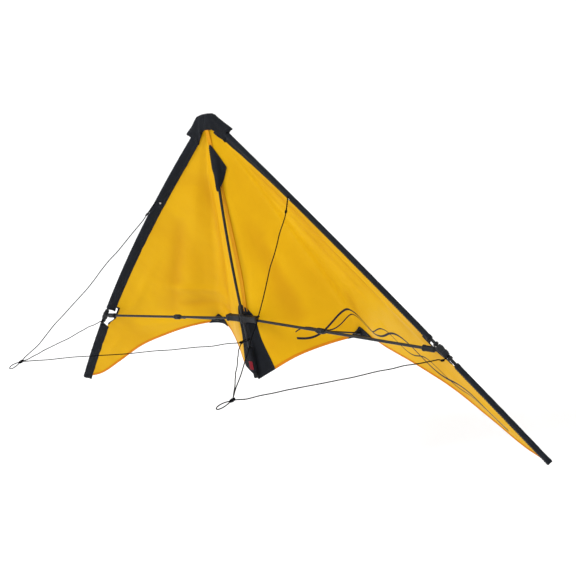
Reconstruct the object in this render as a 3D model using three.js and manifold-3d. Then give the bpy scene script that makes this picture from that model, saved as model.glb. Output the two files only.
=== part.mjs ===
// Dual-line delta stunt kite, built flying: +X to the right wing, -Y towards the flyer, +Z to the nose.
// The origin is the middle of the centre T, on the axis of the spine. Millimetres.
import * as THREE from "three";
import { mergeVertices } from "three/addons/utils/BufferGeometryUtils.js";
import Module from "manifold-3d";

const wasm = await Module();
wasm.setup();

// ---- driving dimensions ----
const HALF_SPAN = 625;
const ROD_RADIUS = 2.5; // 5 mm glass-fibre rods: spine, leading edges and spreaders
const WHISKER_RADIUS = 1.5; // 3 mm rods that push the sail back
const CLOTH = 1.2; // thickness of one panel
const TRIM = 0.8; // thickness of a patch, tape or tab
const GAP = 0.4; // between neighbours
const BORE = ROD_RADIUS + GAP; // hole of a fitting that a rod goes through

const LE_TOP = new THREE.Vector3(14, 20, 366);
const LE_TIP = new THREE.Vector3(HALF_SPAN, 2, -186);
const LE_BOW = new THREE.Vector3(10, -12, 12); // how far the spreader bends the rod, at mid length
const CONNECTOR_AT = 0.721; // places along the leading edge, 0 at the nose and 1 at the tip
const CUTOUT_FROM = 0.689;
const CUTOUT_TO = 0.757;
const UPPER_TIE_AT = 0.268;
const ROD_END_AT = 0.988;

const SLEEVE_WIDTH = 16; // rod centre to the stitched edge
const SLEEVE_RADIUS = 4.2;
const HEM_WIDTH = 8;
const TAIL_Z = -124;
const SEAM_HALF_WIDTH = 6;
const PANEL_START = SEAM_HALF_WIDTH + GAP; // where each half of the sail begins
const SAIL_TOP_AT = 0.04; // the panels end under the nose cap

// Centre seam from nose to tail: height and distance behind the spine's axis.
const SEAM = [[366, 12], [326, 13.6], [227, 17], [69, 16], [15, 10.7], [-48, 8], [TAIL_Z, 6.5]];
// Trailing edge of one half, from the tail to the wing tip: x, y, z.
const TRAILING_EDGE = [
  [0, 6.5, TAIL_Z], [40, 15, -104], [80, 40, -84], [125, 69, -70], [172, 95, -60], [200, 103, -58],
  [228, 95, -57], [275, 76, -63], [345, 62, -81], [425, 47, -107], [510, 33, -148], [575, 19, -178],
  [HALF_SPAN, 2, -186],
];

const SPINE_TOP = 362;
const SPINE_BOTTOM = -116;
const SPINE_BEND = 0.00019; // the rod bends back above the T as this times z squared

const CAP_FRONT = 9.3; // nose cap, from its front face to its back
const CAP_BACK = 25.6;
const CAP_RIDGE_BACK = 30; // where it bulges over the spine's end
const CAP_WALL = 1.2;

const T_ARM = 42; // half of the centre T's length
const T_RADIUS = 6;
const T_HALF_HEIGHT = 9;
const SPREADER_START = 12; // the rod ends stop short of the spine
const SOCKET_START = 15; // spreader socket, from the leading edge rod's axis
const SOCKET_END = 38;
const SOCKET_RADIUS = 5;
const NECK_RADIUS = 2.4;
const NECK_START = 12;
const CONNECTOR_HALF = 11; // half of the leading edge connector's length
const STOP_RADIUS = 4.6;
const STOP_LENGTH = 4;
const TIE_RADIUS = 0.7;
const KNOT_CLEAR = 3.7; // from the outer knot's middle to the start of its tie
const TIE_BEHIND = 4.2; // how far the outer tie passes behind the edge rod's axis
const STANDOFF_AT = 0.435; // place of the standoff along the spreader
const WHISKER_TIP_X = 197;
const WHISKER_TIP_V = 0.978; // how far down the sail the whisker presses

const TOW = new THREE.Vector3(307, -299, -2); // where a flying line pulls
const CORD_RADIUS = 0.9;
const LOOP_RADIUS = 1.2;
const CENTRE_KNOT = new THREE.Vector3(0, -17, -42);

const CORD_STEPS = 28;
const LOOP_STEPS = 20;
const SAIL_COLUMNS = 16;
const SAIL_ROWS = 8;
const PATCH_LIFT = 2.6; // middle of the whisker patch, in front of the middle of the sail

// ---- materials ----
const paint = (color, roughness, metalness = 0) =>
  new THREE.MeshStandardMaterial({ color, roughness, metalness, side: THREE.DoubleSide });
const SAIL_CLOTH = paint(0xe3ac1e, 0.7);
const HEM_TAPE = paint(0xd98c12, 0.75);
const BLACK_CLOTH = paint(0x22262c, 0.8);
const ROD = paint(0x202327, 0.4);
const RUBBER = paint(0x1c1e22, 0.65);
const CORD = paint(0x24262b, 0.85);
const TAB = paint(0x6f1a24, 0.8);

// ---- curves and surfaces ----
const bowed = LE_TOP.clone().add(LE_TIP).multiplyScalar(0.5).addScaledVector(LE_BOW, 2);
const leadingEdge = new THREE.QuadraticBezierCurve3(LE_TOP, bowed, LE_TIP);

// Smooth value at x through a table of [x, value, ...] rows sorted by x; column picks the value.
function smooth(table, x, column) {
  const last = table.length - 1;
  const i = Math.min(Math.max(table.findIndex((row) => row[0] > x) - 1, 0), last - 1);
  const k = x >= table[last][0] ? last - 1 : i;
  const slope = (n) => {
    const a = table[Math.max(n - 1, 0)];
    const b = table[Math.min(n + 1, last)];
    return (b[column] - a[column]) / (b[0] - a[0]);
  };
  const width = table[k + 1][0] - table[k][0];
  const t = (x - table[k][0]) / width;
  const from = table[k][column];
  const to = table[k + 1][column];
  return from * (1 + 2 * t) * (1 - t) ** 2 + to * t * t * (3 - 2 * t)
    + slope(k) * width * t * (1 - t) ** 2 - slope(k + 1) * width * t * t * (1 - t);
}

const SEAM_UPWARDS = [...SEAM].reverse();
const seamY = (z) => smooth(SEAM_UPWARDS, z, 1);
const spineY = (z) => (z > 0 ? SPINE_BEND * z * z : 0);

// The right half of the sail: u runs from the centre seam to the leading edge, v from nose to tail.
// Rays run from the nose to the trailing edge, so the sail billows as a cone.
function sail(u, v) {
  const z = LE_TOP.z + (TAIL_Z - LE_TOP.z) * v;
  const edge = leadingEdge.getPoint(v);
  const x = u * HALF_SPAN;
  const sag = (column, tail, tip) => smooth(TRAILING_EDGE, x, column) - (1 - u) * tail - u * tip;
  return new THREE.Vector3(
    u * edge.x,
    (1 - u) * seamY(z) + u * edge.y + v * sag(1, seamY(TAIL_Z), LE_TIP.y),
    (1 - u) * z + u * edge.z + v * sag(2, TAIL_Z, LE_TIP.z),
  );
}

// u at which a row of the sail is `distance` from the leading edge rod's axis.
function nearEdge(v, distance) {
  const from = leadingEdge.getPoint(v);
  const along = leadingEdge.getTangent(v);
  let low = 0;
  let high = 1;
  for (let i = 0; i < 30; i += 1) {
    const u = (low + high) / 2;
    const away = sail(u, v).sub(from).cross(along).length();
    if (away > distance) low = u;
    else high = u;
  }
  return low;
}

const nearSeam = (v, x) => x / leadingEdge.getPoint(v).x;
const mix = (a, b, t) => a + (b - a) * t;

// v at which the ray u is `distance` above the trailing edge, measured square to the edge.
function aboveHem(u, distance) {
  const step = 0.01;
  const down = sail(u, 1).sub(sail(u, 1 - step)).divideScalar(step);
  const along = sail(u + step, 1).sub(sail(u - step, 1)).normalize();
  return Math.max(1 - distance / down.cross(along).length(), 0.85);
}

// Out of the sail's front face, towards the flyer.
function frontNormal(surface, a, b) {
  const step = 0.002;
  const across = surface(Math.min(a + step, 1), b).sub(surface(Math.max(a - step, 0), b));
  const down = surface(a, Math.min(b + step, 1)).sub(surface(a, Math.max(b - step, 0)));
  const normal = across.cross(down).normalize();
  return normal.y > 0 ? normal.negate() : normal;
}

// ---- solids ----
function solid(positions, triangles) {
  const geometry = new THREE.BufferGeometry();
  geometry.setAttribute("position", new THREE.Float32BufferAttribute(positions.flat(), 3));
  const volume = triangles.reduce((sum, [a, b, c]) => {
    const [p, q, r] = [a, b, c].map((i) => new THREE.Vector3(...positions[i]));
    return sum + p.dot(q.cross(r));
  }, 0);
  const outward = volume > 0 ? triangles : triangles.map(([a, b, c]) => [a, c, b]);
  geometry.setIndex(outward.flat());
  geometry.computeVertexNormals();
  return geometry;
}

// A closed sheet over surface(a, b), `thickness` thick, its middle `lift` in front of the surface.
function sheet(surface, columns, rows, thickness, lift = 0) {
  const positions = [];
  for (const face of [lift + thickness / 2, lift - thickness / 2])
    for (let j = 0; j <= rows; j += 1)
      for (let i = 0; i <= columns; i += 1) {
        const [a, b] = [i / columns, j / rows];
        const normal = frontNormal(surface, a, b);
        positions.push(surface(a, b).addScaledVector(normal, face).toArray());
      }
  const back = positions.length / 2;
  const at = (i, j) => j * (columns + 1) + i;
  const triangles = [];
  const quad = (a, b, c, d) => triangles.push([a, b, c], [a, c, d]);
  for (let j = 0; j < rows; j += 1)
    for (let i = 0; i < columns; i += 1) {
      const [p, q, r, s] = [at(i, j), at(i + 1, j), at(i + 1, j + 1), at(i, j + 1)];
      quad(p, q, r, s);
      quad(back + s, back + r, back + q, back + p);
    }
  for (let i = 0; i < columns; i += 1) {
    quad(back + at(i, 0), back + at(i + 1, 0), at(i + 1, 0), at(i, 0));
    quad(at(i, rows), at(i + 1, rows), back + at(i + 1, rows), back + at(i, rows));
  }
  for (let j = 0; j < rows; j += 1) {
    quad(at(0, j), at(0, j + 1), back + at(0, j + 1), back + at(0, j));
    quad(back + at(columns, j), back + at(columns, j + 1), at(columns, j + 1), at(columns, j));
  }
  return solid(positions, triangles);
}

const circle = (radius, sides) => {
  const points = [];
  for (let i = 0; i < sides; i += 1) {
    const angle = (2 * Math.PI * i) / sides;
    points.push(new THREE.Vector2(radius * Math.cos(angle), radius * Math.sin(angle)));
  }
  return new THREE.Shape(points);
};

const tube = (curve, radius, sides, steps) =>
  new THREE.ExtrudeGeometry(circle(radius, sides), { steps, extrudePath: curve, bevelEnabled: false });

// Turns a geometry made along +Y so that it runs from a point in a direction.
function aimed(geometry, from, direction) {
  const turn = new THREE.Quaternion().setFromUnitVectors(
    new THREE.Vector3(0, 1, 0), direction.clone().normalize());
  geometry.applyQuaternion(turn);
  geometry.translate(from.x, from.y, from.z);
  return geometry;
}

function rod(from, to, radius, sides = 14) {
  const length = from.distanceTo(to);
  const geometry = new THREE.CylinderGeometry(radius, radius, length, sides);
  geometry.translate(0, length / 2, 0);
  return aimed(geometry, from, to.clone().sub(from));
}

// Turned piece: its profile is a list of [radius, height] along the axis.
const turned = (profile, from, direction, sides = 16) =>
  aimed(new THREE.LatheGeometry(profile.map(([r, h]) => new THREE.Vector2(r, h)), sides),
    from, direction);

const ring = (from, direction, inner, outer, length, sides = 16) =>
  turned([[inner, 0], [outer, 0], [outer, length], [inner, length], [inner, 0]], from, direction, sides);

// A cap with a blind hole that opens at its start.
const cup = (from, direction, inner, outer, depth, length) =>
  turned([[0, depth], [inner, depth], [inner, 0], [outer, 0], [outer, length - outer / 2],
    [outer / 2, length], [0, length]], from, direction);

function knot(centre, radius, direction, stretch = 1.5) {
  const geometry = new THREE.SphereGeometry(radius, 10, 7);
  geometry.scale(1, stretch, 1);
  return aimed(geometry, centre, direction);
}

function toManifold(geometry) {
  const bare = geometry.index ? geometry.toNonIndexed() : geometry.clone();
  bare.deleteAttribute("normal");
  bare.deleteAttribute("uv");
  const merged = mergeVertices(bare, 1e-4);
  return new wasm.Manifold(new wasm.Mesh({
    numProp: 3,
    vertProperties: merged.attributes.position.array,
    triVerts: new Uint32Array(merged.index.array),
  }));
}

function fromManifold(body) {
  const { vertProperties, triVerts } = body.getMesh();
  const geometry = new THREE.BufferGeometry();
  geometry.setAttribute("position", new THREE.BufferAttribute(vertProperties, 3));
  geometry.setIndex(new THREE.BufferAttribute(triVerts, 1));
  geometry.computeVertexNormals();
  return geometry;
}

const joined = (...parts) => fromManifold(parts.map(toManifold).reduce((a, b) => a.add(b)));
const cut = (from, ...tools) =>
  fromManifold(tools.map(toManifold).reduce((a, b) => a.subtract(b), toManifold(from)));

const group = new THREE.Group();
function add(parent, name, geometry, material) {
  const mesh = new THREE.Mesh(geometry, material);
  mesh.name = name;
  parent.add(mesh);
}

// ---- the sleeve that holds a leading edge rod: a tube whose sewn edge reaches into the sail ----
function sleeve(from, to, stations) {
  const outline = [];
  const turns = 9;
  for (let i = 0; i < turns; i += 1) {
    const angle = mix(1.25, 2 * Math.PI - 1.25, i / (turns - 1));
    outline.push([[SLEEVE_RADIUS * Math.cos(angle), SLEEVE_RADIUS * Math.sin(angle)], angle]);
  }
  outline.push([[SLEEVE_WIDTH, -TRIM], 2 * Math.PI - 0.5], [[SLEEVE_WIDTH, TRIM], 0.5]);
  const count = outline.length;
  const hole = ROD_RADIUS + 2 * GAP;
  const positions = [];
  for (let k = 0; k <= stations; k += 1) {
    const v = mix(from, to, k / stations);
    const centre = leadingEdge.getPoint(v);
    const along = leadingEdge.getTangent(v);
    const inward = sail(nearEdge(v, SLEEVE_WIDTH), v).sub(centre);
    inward.addScaledVector(along, -inward.dot(along)).normalize();
    const normal = along.clone().cross(inward).normalize();
    const place = ([x, y]) =>
      centre.clone().addScaledVector(inward, x).addScaledVector(normal, y).toArray();
    outline.forEach(([point]) => positions.push(place(point)));
    outline.forEach(([, angle]) => positions.push(place([hole * Math.cos(angle), hole * Math.sin(angle)])));
  }
  const triangles = [];
  const quad = (a, b, c, d) => triangles.push([a, b, c], [a, c, d]);
  const last = stations * 2 * count;
  for (let i = 0; i < count; i += 1) {
    const next = (i + 1) % count;
    for (let k = 0; k < stations; k += 1) {
      const here = k * 2 * count;
      const there = here + 2 * count;
      quad(here + i, here + next, there + next, there + i);
      quad(here + count + next, here + count + i, there + count + i, there + count + next);
    }
    quad(count + i, count + next, next, i);
    quad(last + i, last + next, last + count + next, last + count + i);
  }
  return solid(positions, triangles);
}

// ---- one wing: everything right of the centre seam ----
const connector = leadingEdge.getPoint(CONNECTOR_AT);
const edgeDown = leadingEdge.getTangent(CONNECTOR_AT);
const spreaderOut = connector.clone().normalize();
const standoff = spreaderOut.clone().multiplyScalar(connector.length() * STANDOFF_AT);
const whiskerU = WHISKER_TIP_X / leadingEdge.getPoint(WHISKER_TIP_V).x;
const whiskerTip = sail(whiskerU, WHISKER_TIP_V)
  .addScaledVector(frontNormal(sail, whiskerU, WHISKER_TIP_V), PATCH_LIFT + TRIM / 2 + 3 * GAP);
const whiskerOut = whiskerTip.clone().sub(standoff).normalize();

// Panel and hem share their columns, which are closest together where the whisker bends the cloth.
const COLUMNS = [[0, 0], [0.25, 0.2], [0.45, 0.3], [0.6, 0.36], [0.75, 0.47], [1, 1]];
const acrossPanel = (a, v) =>
  sail(mix(nearSeam(v, PANEL_START), nearEdge(v, SLEEVE_WIDTH + GAP), smooth(COLUMNS, a, 1)), v);
const panelEnd = (a, distance) =>
  aboveHem(mix(nearSeam(1, PANEL_START), nearEdge(1, SLEEVE_WIDTH + GAP), smooth(COLUMNS, a, 1)), distance);

const sailPanel = () =>
  sheet((a, b) => acrossPanel(a, mix(SAIL_TOP_AT, panelEnd(a, HEM_WIDTH + GAP), b)),
    SAIL_COLUMNS, SAIL_ROWS, CLOTH);
const trailingHem = () =>
  sheet((a, b) => acrossPanel(a, mix(panelEnd(a, HEM_WIDTH), 1, b)), SAIL_COLUMNS, 1, CLOTH);

// A patch on the front of the sail, given by its half width at the top and bottom in u.
function patch(middle, top, bottom, topWidth, bottomWidth, columns, rows) {
  const surface = (a, b) =>
    sail(middle + (a - 0.5) * mix(topWidth, bottomWidth, b), mix(top, bottom, b));
  return sheet(surface, columns, rows, TRIM, PATCH_LIFT);
}

// The black reinforcement beside the seam, from behind the T to the trailing edge.
function keelPatch() {
  const widths = [[0.722, 10], [0.77, 18], [0.86, 25], [0.95, 36], [1, 42]];
  const surface = (a, b) => {
    const v = mix(0.722, 0.998, b);
    return sail(mix(nearSeam(v, PANEL_START), nearSeam(v, smooth(widths, v, 1)), a), v);
  };
  return sheet(surface, 4, 8, TRIM, CLOTH / 2 + TRIM / 2 + 2 * GAP);
}

const bezierPart = (from, to, pieces = 12) => {
  const points = [];
  for (let i = 0; i <= pieces; i += 1) points.push(leadingEdge.getPoint(mix(from, to, i / pieces)));
  return new THREE.CatmullRomCurve3(points);
};

// Bridle legs lie almost straight, with the small waves of a line that was wound up.
const upperTieFrom = leadingEdge.getPoint(UPPER_TIE_AT).add(new THREE.Vector3(0, -5.2, 0));
const UPPER_KNOT = new THREE.Vector3(196, -19, 207);
const OUTER_KNOT = new THREE.Vector3(467.8, -12.5, -33.7);
const UPPER_LEG = [
  [197, -21.6, 204.4], [199, -27, 199], [202, -36, 192], [208, -54, 179], [215, -70, 166], [222, -88, 152],
  [229, -106, 140], [236, -122, 127], [243, -139, 112], [250, -156, 98], [258, -174, 85],
  [266, -192, 72], [272, -210, 60], [280, -227, 48], [286, -245, 34], [292, -263, 20], [299, -281, 10],
  [304, -291, 4], [305.8, -295.8, 0.4],
];
const OUTER_LEG = [
  [466, -14.6, -32.5], [464, -17, -31], [456, -30, -30], [446, -48, -28], [437, -65, -25], [427, -84, -24],
  [416, -102, -22], [406, -120, -21], [396, -138, -20], [386, -156, -18], [377, -174, -16],
  [367, -192, -14], [357, -210, -12], [347, -228, -10], [337, -245, -9], [327, -263, -7],
  [318, -281, -6], [311, -293, -3], [309.4, -295.4, -2.6],
];
const INNER_LEG = [
  [2.6, -19, -42], [4, -20, -42], [20, -36, -39], [38, -56, -38], [57, -73, -35], [76, -90, -33],
  [95, -108, -31], [115, -125, -28], [134, -142, -26], [153, -160, -24], [172, -178, -21],
  [192, -195, -18], [211, -212, -15], [231, -229, -12], [250, -246, -10], [269, -264, -8],
  [288, -281, -5], [302, -294, -3], [304.1, -296.1, -2.6],
];
const line = (points) => new THREE.CatmullRomCurve3(points.map((p) => new THREE.Vector3(...p)));

// A long loop of line lying in the plane of two directions.
function lineLoop(start, direction, side, length, width, radius) {
  const points = [];
  const count = 16;
  for (let i = 0; i < count; i += 1) {
    const angle = (2 * Math.PI * i) / count;
    points.push(start.clone()
      .addScaledVector(direction, (length / 2) * (1 - Math.cos(angle)))
      .addScaledVector(side, (width / 2) * Math.sin(angle)));
  }
  const curve = new THREE.CatmullRomCurve3(points, true);
  const positions = [];
  const sides = 8;
  const steps = LOOP_STEPS;
  const flat = direction.clone().cross(side).normalize();
  for (let k = 0; k < steps; k += 1) {
    const centre = curve.getPoint(k / steps);
    const outward = curve.getTangent(k / steps).cross(flat).normalize();
    for (let i = 0; i < sides; i += 1) {
      const angle = (2 * Math.PI * i) / sides;
      positions.push(centre.clone()
        .addScaledVector(outward, radius * Math.cos(angle))
        .addScaledVector(flat, radius * Math.sin(angle)).toArray());
    }
  }
  const triangles = [];
  for (let k = 0; k < steps; k += 1)
    for (let i = 0; i < sides; i += 1) {
      const [a, b] = [k * sides + i, k * sides + ((i + 1) % sides)];
      const [d, c] = [((k + 1) % steps) * sides + i, ((k + 1) % steps) * sides + ((i + 1) % sides)];
      triangles.push([a, b, c], [a, c, d]);
    }
  return solid(positions, triangles);
}

// Rubber tube on the leading edge rod, held between two stop rings.
function edgeConnector() {
  const start = connector.clone().addScaledVector(edgeDown, -CONNECTOR_HALF);
  return ring(start, edgeDown, BORE, T_RADIUS, 2 * CONNECTOR_HALF);
}

// Loop of line round the edge rod, between the connector and its lower stop ring.
function outerTie() {
  const behind = connector.clone().addScaledVector(edgeDown, CONNECTOR_HALF + 1.6).sub(OUTER_KNOT);
  const reach = behind.length() + TIE_BEHIND;
  const direction = behind.normalize();
  const start = OUTER_KNOT.clone().addScaledVector(direction, KNOT_CLEAR);
  const side = direction.clone().cross(edgeDown).normalize();
  return lineLoop(start, direction, side, reach - KNOT_CLEAR, 9.6, TIE_RADIUS);
}

function stopRing(distance) {
  const start = connector.clone().addScaledVector(edgeDown, distance);
  return ring(start, edgeDown, BORE, STOP_RADIUS, STOP_LENGTH, 12);
}

// Blind socket on the spreader's outer end, with a thinner neck towards the leading edge.
function spreaderSocket() {
  const inward = spreaderOut.clone().negate();
  const profile = [
    [0, NECK_START], [NECK_RADIUS, NECK_START], [NECK_RADIUS, SOCKET_START - 1],
    [SOCKET_RADIUS, SOCKET_START + 1], [SOCKET_RADIUS, SOCKET_END], [BORE, SOCKET_END],
    [BORE, SOCKET_START + 3], [0, SOCKET_START + 3],
  ];
  return turned(profile, connector, inward);
}

// Clip round the spreader with a socket that points back at the sail.
function standoffClip() {
  const clip = ring(standoff.clone().addScaledVector(spreaderOut, -7), spreaderOut, BORE, 5.2, 14);
  const boss = rod(standoff.clone().addScaledVector(whiskerOut, 4), bossEnd, 3.4, 12);
  const hole = rod(whiskerStart.clone().addScaledVector(whiskerOut, -GAP),
    bossEnd.clone().addScaledVector(whiskerOut, 2), WHISKER_RADIUS + GAP, 12);
  return cut(joined(clip, boss), hole);
}
const bossEnd = standoff.clone().addScaledVector(whiskerOut, 19);
const whiskerStart = standoff.clone().addScaledVector(whiskerOut, 8);

const CAP_LENGTH = 13;
function buildWing(side) {
  const wing = new THREE.Group();
  if (side === "left") wing.scale.x = -1;
  const put = (name, geometry, material) => add(wing, `${side}_${name}`, geometry, material);

  put("sail", sailPanel(), SAIL_CLOTH);
  put("trailing_edge_hem", trailingHem(), HEM_TAPE);
  put("keel_patch", keelPatch(), BLACK_CLOTH);
  put("whisker_patch", patch(whiskerU, 0.955, 0.998, 0.006, 0.076, 6, 3), BLACK_CLOTH);

  put("edge_sleeve_upper", sleeve(0.02, CUTOUT_FROM, 10), BLACK_CLOTH);
  put("edge_sleeve_lower", sleeve(CUTOUT_TO, 0.998, 5), BLACK_CLOTH);
  put("edge_rod", tube(bezierPart(0.006, ROD_END_AT), ROD_RADIUS, 12, 14), ROD);
  const end = leadingEdge.getPoint(ROD_END_AT);
  put("tip_nock", ring(end.clone().addScaledVector(leadingEdge.getTangent(ROD_END_AT), GAP),
    leadingEdge.getTangent(ROD_END_AT), 0.8, ROD_RADIUS, 7, 10), RUBBER);
  put("edge_connector", edgeConnector(), RUBBER);
  put("upper_stop_ring", stopRing(-CONNECTOR_HALF - 2 - STOP_LENGTH), RUBBER);
  put("lower_stop_ring", stopRing(CONNECTOR_HALF + 3.5), RUBBER);

  const rodEnd = connector.clone().addScaledVector(spreaderOut, -(SOCKET_START + 4));
  const rodStart = spreaderOut.clone().multiplyScalar(SPREADER_START);
  put("spreader_rod", rod(rodStart, rodEnd, ROD_RADIUS, 14), ROD);
  put("spreader_socket", spreaderSocket(), RUBBER);
  put("standoff_clip", standoffClip(), RUBBER);
  const capStart = whiskerTip.clone().addScaledVector(whiskerOut, -CAP_LENGTH);
  put("whisker_rod", rod(whiskerStart, capStart.clone().addScaledVector(whiskerOut, CAP_LENGTH - 4),
    WHISKER_RADIUS, 10), ROD);
  put("whisker_cap", cup(capStart, whiskerOut, WHISKER_RADIUS + GAP, 3.2, CAP_LENGTH - 3, CAP_LENGTH),
    RUBBER);

  const pull = TOW.clone().sub(UPPER_KNOT).normalize();
  const tieEnd = UPPER_KNOT.clone().addScaledVector(pull, -4);
  put("upper_tie", tube(new THREE.CatmullRomCurve3([upperTieFrom, tieEnd]), LOOP_RADIUS, 8, 4), CORD);
  put("upper_knot", knot(UPPER_KNOT, 2.2, pull), CORD);
  put("outer_tie", outerTie(), CORD);
  put("outer_knot", knot(OUTER_KNOT, 2.2, TOW.clone().sub(OUTER_KNOT), 1.2), CORD);
  put("bridle_upper_leg", tube(line(UPPER_LEG), CORD_RADIUS, 8, CORD_STEPS), CORD);
  put("bridle_outer_leg", tube(line(OUTER_LEG), CORD_RADIUS, 8, CORD_STEPS), CORD);
  put("bridle_inner_leg", tube(line(INNER_LEG), CORD_RADIUS, 8, CORD_STEPS), CORD);
  put("tow_knot", knot(TOW, 3, new THREE.Vector3(-0.1, -1, -0.1), 1.6), CORD);
  put("tow_loop", lineLoop(TOW.clone().add(new THREE.Vector3(-0.6, -6.6, -0.6)),
    new THREE.Vector3(-0.17, -0.98, -0.08).normalize(), new THREE.Vector3(0, -0.08, 1).normalize(),
    22, 7, LOOP_RADIUS), CORD);
  return wing;
}

// ---- centre ----
function spineRod() {
  const points = [];
  const pieces = 12;
  for (let i = 0; i <= pieces; i += 1) {
    const z = mix(SPINE_BOTTOM, SPINE_TOP, i / pieces);
    points.push(new THREE.Vector3(0, spineY(z), z));
  }
  return tube(new THREE.CatmullRomCurve3(points), ROD_RADIUS, 12, 16);
}

// Two sockets that hold the spreaders from the front and above, and stay open below and behind.
function centreT() {
  const arm = new THREE.Shape();
  arm.absarc(0, 0, T_RADIUS, Math.PI / 2, Math.PI);
  arm.absarc(0, 0, BORE, Math.PI, Math.PI / 2, true);
  const arms = [1, -1].map((side) => {
    const shape = new THREE.ExtrudeGeometry(arm, { depth: T_ARM, bevelEnabled: false, curveSegments: 6 });
    // Section x points to the back and section y up, and the arm runs along X.
    shape.rotateY(Math.PI / 2);
    shape.rotateX(Math.PI / 2);
    if (side < 0) shape.translate(-T_ARM, 0, 0);
    return shape;
  });
  const hub = new THREE.CylinderGeometry(T_RADIUS, T_RADIUS, 2 * T_HALF_HEIGHT, 20);
  hub.rotateX(Math.PI / 2);
  const hole = new THREE.CylinderGeometry(BORE, BORE, 3 * T_HALF_HEIGHT, 16);
  hole.rotateX(Math.PI / 2);
  return cut(joined(hub, ...arms), hole);
}

// Folded webbing over the ends of the three rods, open below and deeper round the spine.
function noseCap() {
  const outline = (wall, drop) => {
    const half = [[23 - wall, 377 - wall], [62 - wall, 346 - wall / 2], [43 - drop / 8, 320 - drop],
      [14, 348 - drop]];
    const points = [[0, 380 - wall], ...half, ...half.map(([x, z]) => [-x, z]).reverse()];
    return new THREE.Shape(points.map(([x, z]) => new THREE.Vector2(x, z)));
  };
  const wrap = (wall, drop, front, back) => {
    const geometry = new THREE.ExtrudeGeometry(outline(wall, drop),
      { depth: back - front, bevelEnabled: false });
    geometry.rotateX(Math.PI / 2);
    geometry.translate(0, back, 0);
    return geometry;
  };
  const ridge = (half, front, back, bottom, top) =>
    new THREE.BoxGeometry(2 * half, back - front, top - bottom)
      .translate(0, (front + back) / 2, (bottom + top) / 2);
  const outside = joined(wrap(0, 0, CAP_FRONT, CAP_BACK), ridge(6.5, 12, CAP_RIDGE_BACK, 349, 376));
  return cut(outside, wrap(CAP_WALL, 6, CAP_FRONT + CAP_WALL, CAP_BACK - CAP_WALL),
    ridge(6.5 - CAP_WALL, 12, CAP_RIDGE_BACK - CAP_WALL, 340, 376 - CAP_WALL));
}

// Tape over the centre seam, with a slit where the spine goes through the sail.
function centreSeam() {
  const strip = sheet((a, b) => {
    const z = mix(348, 18, b);
    return new THREE.Vector3(mix(-SEAM_HALF_WIDTH, SEAM_HALF_WIDTH, a), seamY(z), z);
  }, 2, 16, CLOTH);
  const slit = new THREE.BoxGeometry(2 * (ROD_RADIUS + GAP) + 1, 30, 50);
  slit.translate(0, 15, 284);
  return cut(strip, slit);
}

// Four-sided patch in front of the slit; the spine comes out from under its lower corner.
function spinePatch() {
  const [top, corner, bottom] = [323, 280, 241];
  const surface = (a, b) => {
    const z = mix(top, bottom, b);
    const open = z > corner ? (top - z) / (top - corner) : (z - bottom) / (corner - bottom);
    const x = mix(-1, 1, a) * (2.4 + 18 * open);
    const v = (LE_TOP.z - z) / (LE_TOP.z - TAIL_Z);
    const cloth = sail(nearSeam(v, Math.abs(x)), v).y - CLOTH / 2;
    const overRod = Math.min(cloth, spineY(z) - ROD_RADIUS) - 3 * GAP;
    const side = Math.min(Math.max((Math.abs(x) - 4) / 9, 0), 1);
    return new THREE.Vector3(x, mix(overRod, cloth - 3 * GAP, side) - TRIM / 2, z);
  };
  return sheet(surface, 10, 8, TRIM);
}

// Sewn pocket round the lower end of the spine.
function spinePocket() {
  const outer = new THREE.Shape([[-5.4, 5], [-5.4, -4.4], [5.4, -4.4], [5.4, 5]]
    .map(([x, y]) => new THREE.Vector2(x, y)));
  const inner = circle(ROD_RADIUS + GAP, 12);
  outer.holes.push(inner);
  const [top, bottom] = [-58, -107];
  const geometry = new THREE.ExtrudeGeometry(outer, { depth: top - bottom, bevelEnabled: false });
  geometry.translate(0, 0, bottom);
  return geometry;
}

add(group, "spine_rod", spineRod(), ROD);
add(group, "spine_end_cap", cup(new THREE.Vector3(0, 0, SPINE_BOTTOM + 8), new THREE.Vector3(0, 0, -1),
  BORE, ROD_RADIUS + 1.7, 8 + GAP, 11), RUBBER);
add(group, "centre_t", centreT(), RUBBER);
add(group, "nose_cap", noseCap(), BLACK_CLOTH);
add(group, "centre_seam", centreSeam(), HEM_TAPE);
add(group, "spine_patch", spinePatch(), BLACK_CLOTH);
add(group, "spine_pocket", spinePocket(), BLACK_CLOTH);
add(group, "tail_tab", new THREE.BoxGeometry(9, 1, 16).translate(0, -5.4, -92), TAB);
add(group, "centre_bridle_loop", lineLoop(new THREE.Vector3(0, 5.4, -42), new THREE.Vector3(0, -1, 0),
  new THREE.Vector3(1, 0, 0), 18, 11, LOOP_RADIUS), CORD);
add(group, "centre_bridle_knot", knot(CENTRE_KNOT, 3, new THREE.Vector3(1, 0, 0), 0.9), CORD);
group.add(buildWing("right"), buildWing("left"));

export default group;
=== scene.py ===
"""The looks of a dual-line delta stunt kite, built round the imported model.

Metres, in the model's frame: +X to the right wing, -Y towards the flyer and +Z to the nose. The origin is
the middle of the centre T, on the spine's axis. Wing pieces are made for the right and mirrored for the left.
"""
import math

import bpy
import numpy as np
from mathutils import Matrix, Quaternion, Vector, noise


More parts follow.
